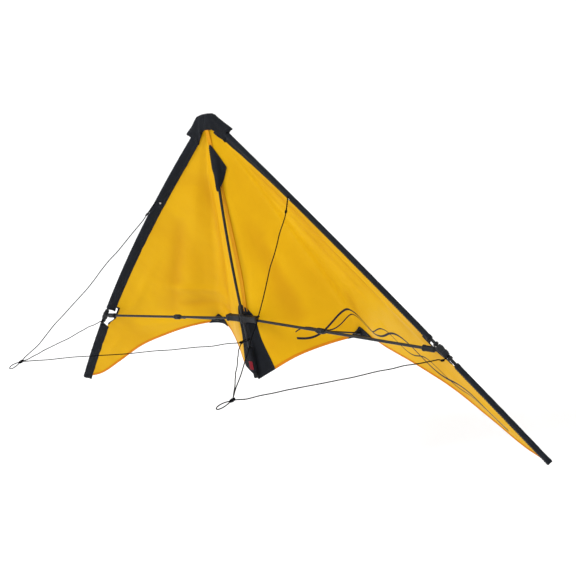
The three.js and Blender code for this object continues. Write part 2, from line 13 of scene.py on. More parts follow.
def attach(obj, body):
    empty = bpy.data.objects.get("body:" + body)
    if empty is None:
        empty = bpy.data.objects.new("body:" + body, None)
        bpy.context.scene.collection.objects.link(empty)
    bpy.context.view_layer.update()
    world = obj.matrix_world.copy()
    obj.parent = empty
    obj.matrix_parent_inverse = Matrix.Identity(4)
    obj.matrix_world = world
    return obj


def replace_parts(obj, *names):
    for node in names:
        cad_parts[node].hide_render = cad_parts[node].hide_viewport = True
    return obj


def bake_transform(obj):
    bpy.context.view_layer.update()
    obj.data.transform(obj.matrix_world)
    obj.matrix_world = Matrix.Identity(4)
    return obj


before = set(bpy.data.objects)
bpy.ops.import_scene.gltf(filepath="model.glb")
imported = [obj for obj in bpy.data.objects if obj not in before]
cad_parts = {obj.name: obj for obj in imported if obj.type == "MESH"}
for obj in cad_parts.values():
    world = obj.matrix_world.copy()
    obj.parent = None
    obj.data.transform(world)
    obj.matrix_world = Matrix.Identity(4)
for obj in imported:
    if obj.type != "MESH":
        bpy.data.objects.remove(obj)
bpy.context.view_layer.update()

SIDES = ("right", "left")


def mm(*points):
    """Points given in millimetres."""
    return [tuple(value * 0.001 for value in point) for point in points]


# ---- sizes, as in the CAD model ----
HALF_SPAN = 0.625
ROD_RADIUS = 0.0025
WHISKER_RADIUS = 0.0015
LE_TOP = np.array((0.014, 0.020, 0.366))
LE_TIP = np.array((HALF_SPAN, 0.002, -0.186))
LE_BOW = np.array((0.010, -0.012, 0.012))
CONNECTOR_AT = 0.721  # places along the leading edge, 0 at the nose and 1 at the tip
CUTOUT = (0.689, 0.757)
UPPER_TIE_AT = 0.268
ROD_SPAN = (0.006, 0.988)
SLEEVE_WIDTH = 0.016
SLEEVE_RADIUS = 0.0042
TAIL_Z = -0.124
SEAM_Z = np.array((-0.124, -0.048, 0.015, 0.069, 0.227, 0.326, 0.366))
SEAM_Y = np.array((0.0065, 0.0080, 0.0107, 0.016, 0.017, 0.0136, 0.012))
TRAILING_EDGE = mm(
    (0, 6.5, -124), (40, 15, -104), (80, 40, -84), (125, 69, -70), (172, 95, -60), (200, 103, -58),
    (228, 95, -57), (275, 76, -63), (345, 62, -81), (425, 47, -107), (510, 33, -148), (575, 19, -178),
    (625, 2, -186),
)
TRAILING_X, TRAILING_Y, TRAILING_Z = np.array(TRAILING_EDGE).T
SPINE_TOP = 0.362
SPINE_BOTTOM = -0.116
SPINE_BEND = 0.19
SLIT = (0.259, 0.309)  # heights between which the spine goes through the seam
T_ARM = 0.042
STANDOFF_AT = 0.435
WHISKER_TIP_X = 0.197
WHISKER_TIP_V = 0.978
PATCH_LIFT = 0.0026
TOW = Vector((0.307, -0.299, -0.002))
CENTRE_KNOT = Vector((0, -0.017, -0.042))
UPPER_KNOT = Vector((0.196, -0.019, 0.207))
OUTER_KNOT = Vector((0.4678, -0.0125, -0.0337))

# ---- bridle routes, right side ----
LINE_DIAMETER = 0.0018
UPPER_LEG = mm(
    (197, -21.6, 204.4), (199, -27, 199), (202, -36, 192), (208, -54, 179), (215, -70, 166), (222, -88, 152),
    (229, -106, 140), (236, -122, 127), (243, -139, 112), (250, -156, 98), (258, -174, 85), (266, -192, 72),
    (272, -210, 60), (280, -227, 48), (286, -245, 34), (292, -263, 20), (299, -281, 10), (304, -291, 4),
    (305.8, -295.8, 0.4),
)
OUTER_LEG = mm(
    (466, -14.6, -32.5), (464, -17, -31), (456, -30, -30), (446, -48, -28), (437, -65, -25), (427, -84, -24),
    (416, -102, -22), (406, -120, -21), (396, -138, -20), (386, -156, -18), (377, -174, -16),
    (367, -192, -14), (357, -210, -12), (347, -228, -10), (337, -245, -9), (327, -263, -7), (318, -281, -6),
    (311, -293, -3), (309.4, -295.4, -2.6),
)
INNER_LEG = mm(
    (2.6, -19, -42), (4, -20, -42), (20, -36, -39), (38, -56, -38), (57, -73, -35), (76, -90, -33),
    (95, -108, -31), (115, -125, -28), (134, -142, -26), (153, -160, -24), (172, -178, -21), (192, -195, -18),
    (211, -212, -15), (231, -229, -12), (250, -246, -10), (269, -264, -8), (288, -281, -5), (302, -294, -3),
    (304.1, -296.1, -2.6),
)


# ---- camera ----
def make_camera():
    look = Vector((-0.7253, 0.6447, -0.2413))
    roll = math.radians(11.87)
    data = bpy.data.cameras.new("camera")
    data.sensor_width = 36
    data.lens = 64.5
    camera = bpy.data.objects.new("camera", data)
    camera.location = (1.444, -1.1589, 0.4987)
    camera.rotation_mode = "QUATERNION"
    camera.rotation_quaternion = look.to_track_quat("-Z", "Y") @ Quaternion((0, 0, 1), -roll)
    bpy.context.scene.collection.objects.link(camera)
    bpy.context.scene.camera = camera


make_camera()


# ---- material nodes ----
def add_node(tree, kind, inputs=None, **settings):
    made = tree.nodes.new(kind)
    for key, value in settings.items():
        setattr(made, key, value)
    for key, value in (inputs or {}).items():
        if isinstance(value, bpy.types.NodeSocket):
            tree.links.new(value, made.inputs[key])
        else:
            made.inputs[key].default_value = value
    return made


def maths(tree, operation, a, b=0.0, c=0.0):
    return add_node(tree, "ShaderNodeMath", {0: a, 1: b, 2: c}, operation=operation).outputs[0]


def ranged(tree, value, low, high, to_low, to_high):
    return add_node(tree, "ShaderNodeMapRange",
                    {0: value, 1: low, 2: high, 3: to_low, 4: to_high}).outputs[0]


def mixed(tree, factor, a, b):
    made = add_node(tree, "ShaderNodeMix", {0: factor, 6: a, 7: b}, data_type="RGBA")
    return made.outputs[2]


def surface_coordinates(tree, layer="cloth"):
    """Metres across and along a piece."""
    place = add_node(tree, "ShaderNodeUVMap", uv_map=layer)
    return place.outputs[0], add_node(tree, "ShaderNodeSeparateXYZ", {0: place.outputs[0]})


def noise_of(tree, place, scale, detail=3.0, roughness=0.55):
    return add_node(tree, "ShaderNodeTexNoise", {"Vector": place, "Scale": scale, "Detail": detail,
                                                 "Roughness": roughness}).outputs[0]


def threads(tree, coordinate, pitch):
    """0 between threads and 1 on the crown of each."""
    turn = maths(tree, "MULTIPLY", coordinate, 2 * math.pi / pitch)
    return ranged(tree, maths(tree, "SINE", turn), -1, 1, 0, 1)


def rib(tree, coordinate, pitch, width):
    """1 on a thin line at every pitch, and 0 between."""
    away = maths(tree, "PINGPONG", coordinate, pitch / 2)
    return ranged(tree, away, 0, width, 1, 0)


def rubbing_and_shade(tree):
    """The layer that is 1 where a piece is rubbed, and on the sail also in its fold valleys, where it holds
    painted shade.
    """
    return add_node(tree, "ShaderNodeAttribute", attribute_name="wear_and_shade").outputs["Fac"]


def paler(colour, times):
    return [min(1, times * value) for value in colour[:3]] + [1]


def finish_material(tree, colour, roughness, height, depth, sheen=0.0, coat=0.0, specular=0.5):
    bump = add_node(tree, "ShaderNodeBump", {"Height": height, "Strength": 1.0, "Distance": depth})
    shader = add_node(tree, "ShaderNodeBsdfPrincipled", {
        "Base Color": colour, "Roughness": roughness, "Normal": bump.outputs[0],
        "Sheen Weight": sheen, "Sheen Roughness": 0.45, "Coat Weight": coat, "Coat Roughness": 0.3,
        "Specular IOR Level": specular})
    output = add_node(tree, "ShaderNodeOutputMaterial")
    tree.links.new(shader.outputs[0], output.inputs[0])


def new_tree(name):
    material = bpy.data.materials.new(name)
    material.use_nodes = True
    material.node_tree.nodes.clear()
    return material, material.node_tree


def rgb(r, g, b):
    return (r, g, b, 1.0)


def sail_material(name, light, shaded, ink=None):
    """Coated ripstop: a fine weave, a thread grid, soft blotches of colour and, with ink, a printed wave."""
    material, tree = new_tree(name)
    place, axes = surface_coordinates(tree)
    x, y = axes.outputs[0], axes.outputs[1]
    blotches = noise_of(tree, place, 7.0, 4.0)
    fine = noise_of(tree, place, 160.0, 3.0)
    grid = maths(tree, "MAXIMUM", rib(tree, x, 0.005, 0.00035), rib(tree, y, 0.005, 0.00035))
    weave = maths(tree, "MULTIPLY", threads(tree, x, 0.0006), threads(tree, y, 0.0006))
    colour = mixed(tree, ranged(tree, blotches, 0.35, 0.68, 0, 0.5), light, shaded)
    colour = mixed(tree, maths(tree, "MULTIPLY", grid, 0.10), colour, shaded)
    colour = mixed(tree, ranged(tree, fine, 0.55, 0.85, 0, 0.12), colour, shaded)
    # rubbed borders, and painted shade in the fold valleys, take the shaded colour
    colour = mixed(tree, maths(tree, "MULTIPLY", rubbing_and_shade(tree), 0.75), colour, shaded)
    if ink:
        colour = mixed(tree, printed_wave(tree), colour, ink)
    roughness = ranged(tree, blotches, 0.3, 0.7, 0.48, 0.6)
    height = maths(tree, "ADD", maths(tree, "MULTIPLY", weave, 0.35),
                   maths(tree, "ADD", grid, maths(tree, "MULTIPLY", fine, 0.8)))
    finish_material(tree, colour, roughness, height, 0.00006, specular=0.08)
    return material


WAVE_SPAN = (0.085, 0.545)  # distances from the seam between which the waves run
# Each wave's height, swing, length, shift and line width.
WAVES = ((0.040, 0.017, 0.150, 0.0, 0.0020), (0.036, 0.011, 0.100, 1.9, 0.0011))


def printed_wave(tree):
    """A mask of two plain wavy lines. The layer holds x and the height above the trailing edge."""
    _, axes = surface_coordinates(tree, "print")
    x, height = axes.outputs[0], axes.outputs[1]
    lines = []
    for middle, swing, length, shift, width in WAVES:
        turn = maths(tree, "MULTIPLY_ADD", x, 2 * math.pi / length, shift)
        scale = ranged(tree, x, 0.30, 0.56, 1.0, 0.42)
        crest = maths(tree, "MULTIPLY_ADD", maths(tree, "SINE", turn), swing, middle)
        above = maths(tree, "SUBTRACT", height, maths(tree, "MULTIPLY", crest, scale))
        away = maths(tree, "ABSOLUTE", above)
        line = ranged(tree, away, width, width + 0.0004, 1, 0)
        span = maths(tree, "MULTIPLY", maths(tree, "GREATER_THAN", x, WAVE_SPAN[0]),
                     maths(tree, "LESS_THAN", x, WAVE_SPAN[1]))
        lines.append(maths(tree, "MULTIPLY", line, span))
    return maths(tree, "MAXIMUM", *lines)


def woven_material(name, dark, light, pitch, depth):
    """Coarse woven cloth or webbing, paler where its edges are rubbed."""
    material, tree = new_tree(name)
    place, axes = surface_coordinates(tree)
    x, y = axes.outputs[0], axes.outputs[1]
    blotches = noise_of(tree, place, 26.0, 5.0)
    fuzz = noise_of(tree, place, 900.0, 2.0)
    over = threads(tree, maths(tree, "ADD", x, y), pitch)
    under = threads(tree, maths(tree, "SUBTRACT", x, y), pitch)
    weave = maths(tree, "MAXIMUM", over, maths(tree, "MULTIPLY", under, 0.8))
    colour = mixed(tree, ranged(tree, blotches, 0.3, 0.75, 0, 0.75), dark, light)
    colour = mixed(tree, maths(tree, "MULTIPLY", weave, 0.3), colour, light)
    rubbed = maths(tree, "MULTIPLY", rubbing_and_shade(tree), ranged(tree, blotches, 0.35, 0.7, 0.25, 0.9))
    colour = mixed(tree, rubbed, colour, paler(light, 2.4))
    rough = ranged(tree, blotches, 0.3, 0.7, 0.72, 0.88)
    height = maths(tree, "ADD", weave, maths(tree, "MULTIPLY", fuzz, 0.6))
    finish_material(tree, colour, rough, height, depth, sheen=0.02, specular=0.08)
    return material


def braid_material(name, dark, light):
    """Braided line: two sets of strands, wound opposite ways round it."""
    material, tree = new_tree(name)
    place, axes = surface_coordinates(tree)
    round_way, along = axes.outputs[0], axes.outputs[1]
    lay = maths(tree, "MULTIPLY", along, 0.62)
    one, other = (threads(tree, maths(tree, way, round_way, lay), 0.00095) for way in ("ADD", "SUBTRACT"))
    strands = maths(tree, "MAXIMUM", one, other)
    blotches = noise_of(tree, place, 120.0, 4.0)
    shown = maths(tree, "MULTIPLY", strands, ranged(tree, blotches, 0.3, 0.7, 0.2, 0.7))
    colour = mixed(tree, shown, dark, light)
    rough = ranged(tree, blotches, 0.3, 0.7, 0.7, 0.85)
    finish_material(tree, colour, rough, strands, 0.00012, specular=0.03)
    return material


def rod_material(name, dark, light):
    """Pultruded rod: long fine streaks, a satin skin and faint scuffs."""
    material, tree = new_tree(name)
    place, _ = surface_coordinates(tree)
    stretched = add_node(tree, "ShaderNodeMapping", {"Vector": place, "Scale": (1400.0, 22.0, 1.0)})
    streaks = noise_of(tree, stretched.outputs[0], 1.0, 5.0)
    scuffs = noise_of(tree, place, 75.0, 6.0, 0.7)
    colour = mixed(tree, ranged(tree, streaks, 0.35, 0.7, 0, 0.8), dark, light)
    rubbed = maths(tree, "MULTIPLY", rubbing_and_shade(tree), ranged(tree, scuffs, 0.4, 0.7, 0.1, 0.7))
    colour = mixed(tree, rubbed, colour, paler(light, 3))
    rough = ranged(tree, scuffs, 0.35, 0.7, 0.3, 0.5)
    finish_material(tree, colour, rough, streaks, 0.00005, coat=0.05, specular=0.2)
    return material


def rubber_material(name, dark, light):
    """Moulded rubber: a fine grain, a bloom of paler dust and rubbed edges."""
    material, tree = new_tree(name)
    place, _ = surface_coordinates(tree)
    grain = noise_of(tree, place, 1500.0, 2.0)
    bloom = noise_of(tree, place, 90.0, 5.0, 0.65)
    colour = mixed(tree, ranged(tree, bloom, 0.4, 0.75, 0, 0.8), dark, light)
    colour = mixed(tree, maths(tree, "MULTIPLY", rubbing_and_shade(tree), 0.5), colour, paler(light, 2.2))
    rough = ranged(tree, bloom, 0.35, 0.7, 0.46, 0.66)
    finish_material(tree, colour, rough, grain, 0.00006, specular=0.2)
    return material


INK = rgb(0.012, 0.013, 0.022)
SAIL_LIGHT = rgb(0.655, 0.365, 0.002)
SAIL_SHADED = rgb(0.55, 0.27, 0.002)
MATERIALS = {
    "right_sail": sail_material("printed_ripstop", SAIL_LIGHT, SAIL_SHADED, INK),
    "left_sail": sail_material("plain_ripstop", SAIL_LIGHT, SAIL_SHADED),
    "tape": sail_material("seam_tape", rgb(0.64, 0.29, 0.004), rgb(0.55, 0.22, 0.003)),
    "hem": sail_material("hem_tape", rgb(0.62, 0.215, 0.004), rgb(0.50, 0.155, 0.002)),
    "sleeve": woven_material("sleeve_cloth", rgb(0.006, 0.007, 0.010), rgb(0.015, 0.018, 0.024),
                             0.0011, 0.0001),
    "webbing": woven_material("webbing", rgb(0.005, 0.006, 0.008), rgb(0.013, 0.015, 0.020),
                              0.0016, 0.00018),
    "tab": woven_material("woven_tab", rgb(0.13, 0.006, 0.012), rgb(0.26, 0.018, 0.03), 0.0007, 0.00008),
    "line": braid_material("braided_line", rgb(0.002, 0.002, 0.003), rgb(0.010, 0.011, 0.013)),
    "dark_thread": braid_material("dark_thread", rgb(0.018, 0.020, 0.024), rgb(0.075, 0.08, 0.09)),
    "orange_thread": braid_material("orange_thread", rgb(0.60, 0.20, 0.006), rgb(0.82, 0.36, 0.02)),
    "rod": rod_material("glass_fibre_rod", rgb(0.006, 0.007, 0.009), rgb(0.014, 0.016, 0.020)),
    "eyelet": rod_material("pale_eyelet", rgb(0.50, 0.50, 0.51), rgb(0.72, 0.72, 0.73)),
    "rubber": rubber_material("moulded_rubber", rgb(0.007, 0.008, 0.010), rgb(0.017, 0.019, 0.022)),
}


# ---- mesh makers ----
def circle(count):
    """Cosine and sine at even steps round a circle."""
    return [(math.cos(t), math.sin(t)) for t in np.linspace(0, 2 * math.pi, count, endpoint=False)]


def add_piece(name, vertices, faces, uv, look, side="right", wear_and_shade=None):
    """A mesh object. uv holds one pair for each face corner, in metres; a left-hand piece is mirrored."""
    vertices = np.array(vertices, float).reshape(-1, 3)
    if side == "left":
        vertices = vertices * (-1, 1, 1)
        counts = np.array([len(face) for face in faces])
        ends = np.cumsum(counts)
        uv = np.concatenate([uv[e - c:e][::-1] for c, e in zip(counts, ends)])
        faces = [tuple(face)[::-1] for face in faces]
    mesh = bpy.data.meshes.new(name)
    mesh.from_pydata(vertices.tolist(), [], [tuple(map(int, face)) for face in faces])
    layer = mesh.uv_layers.new(name="cloth")
    layer.data.foreach_set("uv", np.asarray(uv, np.float32).ravel())
    values = np.zeros(len(vertices), np.float32) if wear_and_shade is None else np.asarray(wear_and_shade, np.float32).ravel()
    # this layer holds rubbed wear, and on the sail also painted shade in the fold valleys
    mesh.attributes.new("wear_and_shade", "FLOAT", "POINT").data.foreach_set("value", values)
    mesh.materials.append(MATERIALS[look])
    mesh.polygons.foreach_set("use_smooth", np.ones(len(mesh.polygons), bool))
    mesh.update()
    piece = bpy.data.objects.new(name, mesh)
    bpy.context.scene.collection.objects.link(piece)
    return piece


CREASE_ANGLE = math.radians(35)


def sharpen(piece):
    """Keeps the shading crisp where faces meet at more than the crease angle."""
    mesh = piece.data
    limit = math.cos(CREASE_ANGLE)
    sides = {}
    for polygon in mesh.polygons:
        for key in polygon.edge_keys:
            sides.setdefault(key, []).append(polygon.normal.copy())
    for edge in mesh.edges:
        around = sides.get(edge.key, [])
        if len(around) == 2 and around[0].dot(around[1]) < limit:
            edge.use_edge_sharp = True
    return piece


def bevelled(piece, width):
    modifier = piece.modifiers.new("rounded_edges", "BEVEL")
    modifier.width = width
    modifier.segments = 2
    modifier.limit_method = "ANGLE"
    modifier.angle_limit = CREASE_ANGLE
    modifier.harden_normals = False
    return piece


def loft(name, rings, look, side="right", looped=False, wear_and_shade=None):
    """A skin over rings of points, closed at both ends, or joined end to start when looped."""
    rings = np.asarray(rings, float)
    count, around = rings.shape[:2]
    vertices = rings.reshape(-1, 3)
    girth = np.linalg.norm(np.roll(rings, -1, axis=1) - rings, axis=2)
    across = np.concatenate([np.zeros((count, 1)), np.cumsum(girth, axis=1)], axis=1)
    middles = rings.mean(axis=1)
    steps = np.linalg.norm(np.diff(rings, axis=0), axis=2).mean(axis=1)
    along = np.concatenate([[0], np.cumsum(steps)])
    faces, uv = [], []
    for k in range(count if looped else count - 1):
        n = (k + 1) % count
        up = along[k] + (steps[k] if k < count - 1 else np.linalg.norm(middles[0] - middles[-1]))
        for i in range(around):
            j = (i + 1) % around
            faces.append((k * around + i, k * around + j, n * around + j, n * around + i))
            uv += [(across[k, i], along[k]), (across[k, i + 1], along[k]),
                   (across[n, i + 1], up), (across[n, i], up)]
    if not looped:
        for k in (0, count - 1):
            ids = [k * around + i for i in range(around)]
            ids = ids[::-1] if k == 0 else ids
            faces.append(tuple(ids))
            flat = vertices[ids] - middles[k]
            spread = max(np.abs(flat).max(), 1e-6)
            uv += [(spread * c, spread * s) for c, s in circle(around)]
    values = None if wear_and_shade is None else np.repeat(np.asarray(wear_and_shade, float), around)
    piece = add_piece(name, vertices, faces, np.array(uv), look, side, values)
    return outward(piece)


def outward(piece):
    """Turns a closed mesh's faces to point out of it."""
    mesh = piece.data
    points = np.array([v.co for v in mesh.vertices])
    volume = 0.0
    for polygon in mesh.polygons:
        first, *rest = [points[i] for i in polygon.vertices]
        for a, b in zip(rest, rest[1:]):
            volume += np.dot(first, np.cross(a, b))
    if volume < 0:
        mesh.flip_normals()
    return piece


def frames_along(path, closed=False):
    """Two directions square to a path at each of its points, without twist."""
    path = np.asarray(path, float)
    if closed:
        tangents = np.roll(path, -1, axis=0) - np.roll(path, 1, axis=0)
    else:
        tangents = np.gradient(path, axis=0)
    tangents /= np.linalg.norm(tangents, axis=1)[:, None]
    seed = np.array((0.0, 0, 1)) if abs(tangents[0][2]) < 0.9 else np.array((1.0, 0, 0))
    first = seed - tangents[0] * seed.dot(tangents[0])
    sides = [first / np.linalg.norm(first)]
    for tangent in tangents[1:]:
        side = sides[-1] - tangent * sides[-1].dot(tangent)
        sides.append(side / np.linalg.norm(side))
    sides = np.array(sides)
    return sides, np.cross(tangents, sides)


def tube(name, path, radius, look, side="right", sides=16, closed=False, wear_and_shade=None):
    path = np.asarray(path, float)
    one, two = frames_along(path, closed)
    radius = np.broadcast_to(np.asarray(radius, float), (len(path),))[:, None, None]
    turn = np.linspace(0, 2 * math.pi, sides, endpoint=False)
    rings = (path[:, None] + radius * (np.cos(turn)[None, :, None] * one[:, None]
                                       + np.sin(turn)[None, :, None] * two[:, None]))
    return loft(name, rings, look, side, looped=closed, wear_and_shade=wear_and_shade)


def turned(name, profile, start, direction, look, side="right", segments=36, looped=False):
    """A piece turned about an axis, from (radius, distance along it). A looped profile leaves a bore."""
    start, axis = np.array(start, float), np.array(Vector(direction).normalized())
    seed = np.array((0.0, 0, 1)) if abs(axis[2]) < 0.9 else np.array((1.0, 0, 0))
    one = seed - axis * seed.dot(axis)
    one /= np.linalg.norm(one)
    two = np.cross(axis, one)
    turn = np.linspace(0, 2 * math.pi, segments, endpoint=False)
    spokes = np.cos(turn)[:, None] * one + np.sin(turn)[:, None] * two
    rings = [start + axis * h + max(r, 1e-5) * spokes for r, h in profile]
    return sharpen(loft(name, rings, look, side, looped=looped))


def catmull(points, spacing):
    """A smooth path through the points, with a step about every `spacing`."""
    points = np.asarray(points, float)
    padded = np.vstack([2 * points[0] - points[1], points, 2 * points[-1] - points[-2]])
    path = []
    for i in range(len(points) - 1):
        p0, p1, p2, p3 = padded[i:i + 4]
        steps = max(1, round(np.linalg.norm(p2 - p1) / spacing))
        for t in np.arange(steps) / steps:
            path.append(0.5 * (2 * p1 + (p2 - p0) * t + (2 * p0 - 5 * p1 + 4 * p2 - p3) * t**2
                               + (3 * p1 - p0 - 3 * p2 + p3) * t**3))
    return np.array(path + [points[-1]])


def straight(start, end, steps):
    start, end = np.array(start, float), np.array(end, float)
    return start + (end - start) * np.linspace(0, 1, steps + 1)[:, None]


# ---- the sail's surface ----
def smooth(xs, ys, x):
    """A cubic through the points, with slopes from each point's neighbours."""
    last = len(xs) - 1
    after, before = np.minimum(np.arange(last + 1) + 1, last), np.maximum(np.arange(last + 1) - 1, 0)
    slopes = (ys[after] - ys[before]) / (xs[after] - xs[before])
    k = np.clip(np.searchsorted(xs, x, side="right") - 1, 0, last - 1)
    width = xs[k + 1] - xs[k]
    t = (x - xs[k]) / width
    return (ys[k] * (1 + 2 * t) * (1 - t) ** 2 + ys[k + 1] * t * t * (3 - 2 * t)
            + slopes[k] * width * t * (1 - t) ** 2 - slopes[k + 1] * width * t * t * (1 - t))


def seam_y(z):
    return smooth(SEAM_Z, SEAM_Y, z)


def spine_y(z):
    return SPINE_BEND * np.maximum(z, 0) ** 2


def edge(v):
    """A point on the leading edge rod's axis."""
    v = np.asarray(v, float)[..., None]
    control = (LE_TOP + LE_TIP) / 2 + 2 * LE_BOW
    return (1 - v) ** 2 * LE_TOP + 2 * v * (1 - v) * control + v**2 * LE_TIP


def edge_direction(v):
    ahead = edge(np.asarray(v, float) + 0.0005) - edge(np.asarray(v, float) - 0.0005)
    return ahead / np.linalg.norm(ahead, axis=-1)[..., None]


def sail(u, v):
    """The taut surface: u from the seam to the leading edge, v from the nose to the trailing edge."""
    u, v = np.broadcast_arrays(np.asarray(u, float), np.asarray(v, float))
    z = LE_TOP[2] + (TAIL_Z - LE_TOP[2]) * v
    rod = edge(v)
    x = u * HALF_SPAN
    sag_y = smooth(TRAILING_X, TRAILING_Y, x) - (1 - u) * seam_y(TAIL_Z) - u * LE_TIP[1]
    sag_z = smooth(TRAILING_X, TRAILING_Z, x) - (1 - u) * TAIL_Z - u * LE_TIP[2]
    return np.stack([u * rod[..., 0],
                     (1 - u) * seam_y(z) + u * rod[..., 1] + v * sag_y,
                     (1 - u) * z + u * rod[..., 2] + v * sag_z], axis=-1)


def near_edge(v, distance):
    """u at which the row v of the sail is `distance` from the leading edge rod's axis."""
    v = np.asarray(v, float)
    start, along = edge(v), edge_direction(v)
    low, high = np.zeros(v.shape), np.ones(v.shape)
    for _ in range(26):
        u = (low + high) / 2
        away = np.linalg.norm(np.cross(sail(u, v) - start, along), axis=-1)
        low, high = np.where(away > distance, u, low), np.where(away > distance, high, u)
    return low


def near_seam(v, x):
    return x / edge(v)[..., 0]


def above_hem(u, distance):
    """v at which the ray u is `distance` above the trailing edge, square to it."""
    step = 0.01
    down = (sail(u, 1) - sail(u, 1 - step)) / step
    along = sail(u + step, 1) - sail(u - step, 1)
    along /= np.linalg.norm(along, axis=-1)[..., None]
    return np.maximum(1 - distance / np.linalg.norm(np.cross(down, along), axis=-1), 0.85)


# Soft folds, seen from the front: x and z of one end and of the other, width, and height towards the flyer.
FOLDS = {
    "right": mm(
        (50, 325, 330, 60, 11, 1.6), (75, 285, 390, -10, 14, -1.7), (60, 240, 300, 0, 20, 1.4),
        (180, 190, 440, -45, 9, 1.5), (30, 200, 110, -60, 18, -1.5), (60, 150, 185, -40, 16, 1.8),
        (230, 60, 205, -45, 14, -1.6), (60, -35, 190, -10, 12, 1.4), (300, -10, 230, -50, 12, 1.5),
        (430, -70, 590, -170, 8, 1.2), (50, 318, 300, 88, 5, -1.1), (58, 292, 340, 34, 6, -1.3),
        (110, 262, 420, -18, 5, -1), (70, 255, 290, 40, 8, -1.4),
    ),
    "left": mm(
        (35, 300, 75, -50, 15, 2.2), (60, 270, 125, -45, 17, -2.2), (95, 250, 185, -30, 18, 1.8),
        (160, 190, 300, -30, 15, -1.6), (100, 10, 280, 35, 10, 2), (90, -20, 270, -5, 9, -1.8),
        (110, -45, 185, -30, 9, 1.5), (220, -40, 420, -60, 11, 1.6), (250, 110, 470, -80, 10, 1.4),
        (430, -60, 590, -170, 8, 1.2),
    ),
}


def ease(value, low, high):
    t = np.clip((value - low) / (high - low), 0, 1)
    return t * t * (3 - 2 * t)


def slack(side, points):
    """How far the cloth lies from the taut surface, towards the flyer."""
    x, z = points[..., 0], points[..., 2]
    lift = np.zeros(x.shape)
    for x1, z1, x2, z2, width, height in FOLDS[side]:
        run = np.array((x2 - x1, z2 - z1))
        t = ((x - x1) * run[0] + (z - z1) * run[1]) / run.dot(run)
        away = np.hypot(x - x1 - run[0] * np.clip(t, 0, 1), z - z1 - run[1] * np.clip(t, 0, 1))
        swell = np.sin(math.pi * np.clip(t, 0.0, 1.0)) ** 0.6
        lift += 1.6 * height * swell * np.exp(-((away / width) ** 2))
    shift = 3.1 if side == "left" else 0.0
    rough = np.array([noise.noise(Vector((px * 16 + shift, pz * 16, 0.5))) * 0.0011
                      + noise.noise(Vector((px * 55, pz * 55 + shift, 2.0))) * 0.00022
                      for px, pz in zip(x.ravel(), z.ravel())]).reshape(x.shape)
    whisker = sail(near_whisker(), WHISKER_TIP_V)
    clear = ease(np.hypot(x - whisker[0], z - whisker[2]), 0.022, 0.060)
    return (lift + rough) * clear * ease(x, 0.008, 0.040)


def near_whisker():
    return WHISKER_TIP_X / edge(WHISKER_TIP_V)[0]


def cloth(side, u, v):
    """The sail as it hangs: the taut surface with its soft folds, still along the leading edge."""
    points = sail(u, v)
    rows = np.broadcast_to(v, points.shape[:-1])
    start, along = edge(rows), edge_direction(rows)
    away = np.linalg.norm(np.cross(points - start, along), axis=-1)
    points = points.copy()
    points[..., 1] -= slack(side, points) * ease(away, SLEEVE_WIDTH, SLEEVE_WIDTH + 0.030)
    return points


def facing(points):
    """Unit normals of a grid of points, towards the flyer."""
    made = np.cross(np.gradient(points, axis=1), np.gradient(points, axis=0))
    made /= np.maximum(np.linalg.norm(made, axis=-1), 1e-12)[..., None]
    return -made if made[..., 1].mean() > 0 else made


def sheet(name, points, thickness, look, side="right", lift=0.0, rub=0.002, print_layer=None, crease_shade=0.0):
    """A closed sheet over a grid of points, its middle `lift` in front of them, worn along its border and
    darkened with painted shade in fold valleys.
    """
    rows, columns = points.shape[:2]
    normals = facing(points)
    front = points + normals * (lift + thickness / 2)
    back = points + normals * (lift - thickness / 2)
    vertices = np.concatenate([front.reshape(-1, 3), back.reshape(-1, 3)])
    across = np.concatenate([np.zeros((rows, 1)),
                             np.cumsum(np.linalg.norm(np.diff(points, axis=1), axis=2), axis=1)], axis=1)
    down = np.concatenate([np.zeros((1, columns)),
                           np.cumsum(np.linalg.norm(np.diff(points, axis=0), axis=2), axis=0)], axis=0)
    border = np.minimum(np.minimum(across, across[:, -1:] - across), np.minimum(down, down[-1:] - down))
    # layer of rubbed border wear, and of painted shade in the sail's fold valleys
    wear_and_shade = np.tile(np.maximum(np.clip(1 - border / rub, 0, 1) * 0.6, crease_shade).ravel(), 2)
    places = np.tile(np.stack([across + points[:, :1, 0], down], axis=-1).reshape(-1, 2), (2, 1))
    at = np.arange(rows * columns).reshape(rows, columns)
    far = rows * columns
    quads = np.stack([at[:-1, :-1], at[:-1, 1:], at[1:, 1:], at[1:, :-1]], axis=-1).reshape(-1, 4)
    rim = np.concatenate([at[0, :], at[1:, -1], at[-1, -2::-1], at[-2:0:-1, 0]])
    after = np.roll(rim, -1)
    edges = np.stack([rim + far, after + far, after, rim], axis=-1)
    faces = np.concatenate([quads, quads[:, ::-1] + far, edges])
    corners = faces.ravel()
    piece = outward(add_piece(name, vertices, faces.tolist(), places[corners], look, side, wear_and_shade))
    if print_layer is not None:
        loops = np.empty(len(piece.data.loops), np.int64)
        piece.data.loops.foreach_get("vertex_index", loops)
        values = np.tile(print_layer.reshape(-1, 2), (2, 1))[loops]
        piece.data.uv_layers.new(name="print").data.foreach_set("uv", values.astype(np.float32).ravel())
    return piece


THREAD_RADIUS = 0.00024
# Where a stitch's sections are, from -1 to 1, with their height and fatness.
STITCH_STATIONS = ((-1.0, 0.0, 0.55), (-0.5, 1.1, 1.0), (0.5, 1.1, 1.0), (1.0, 0.0, 0.55))
STITCH_SIDES = 6


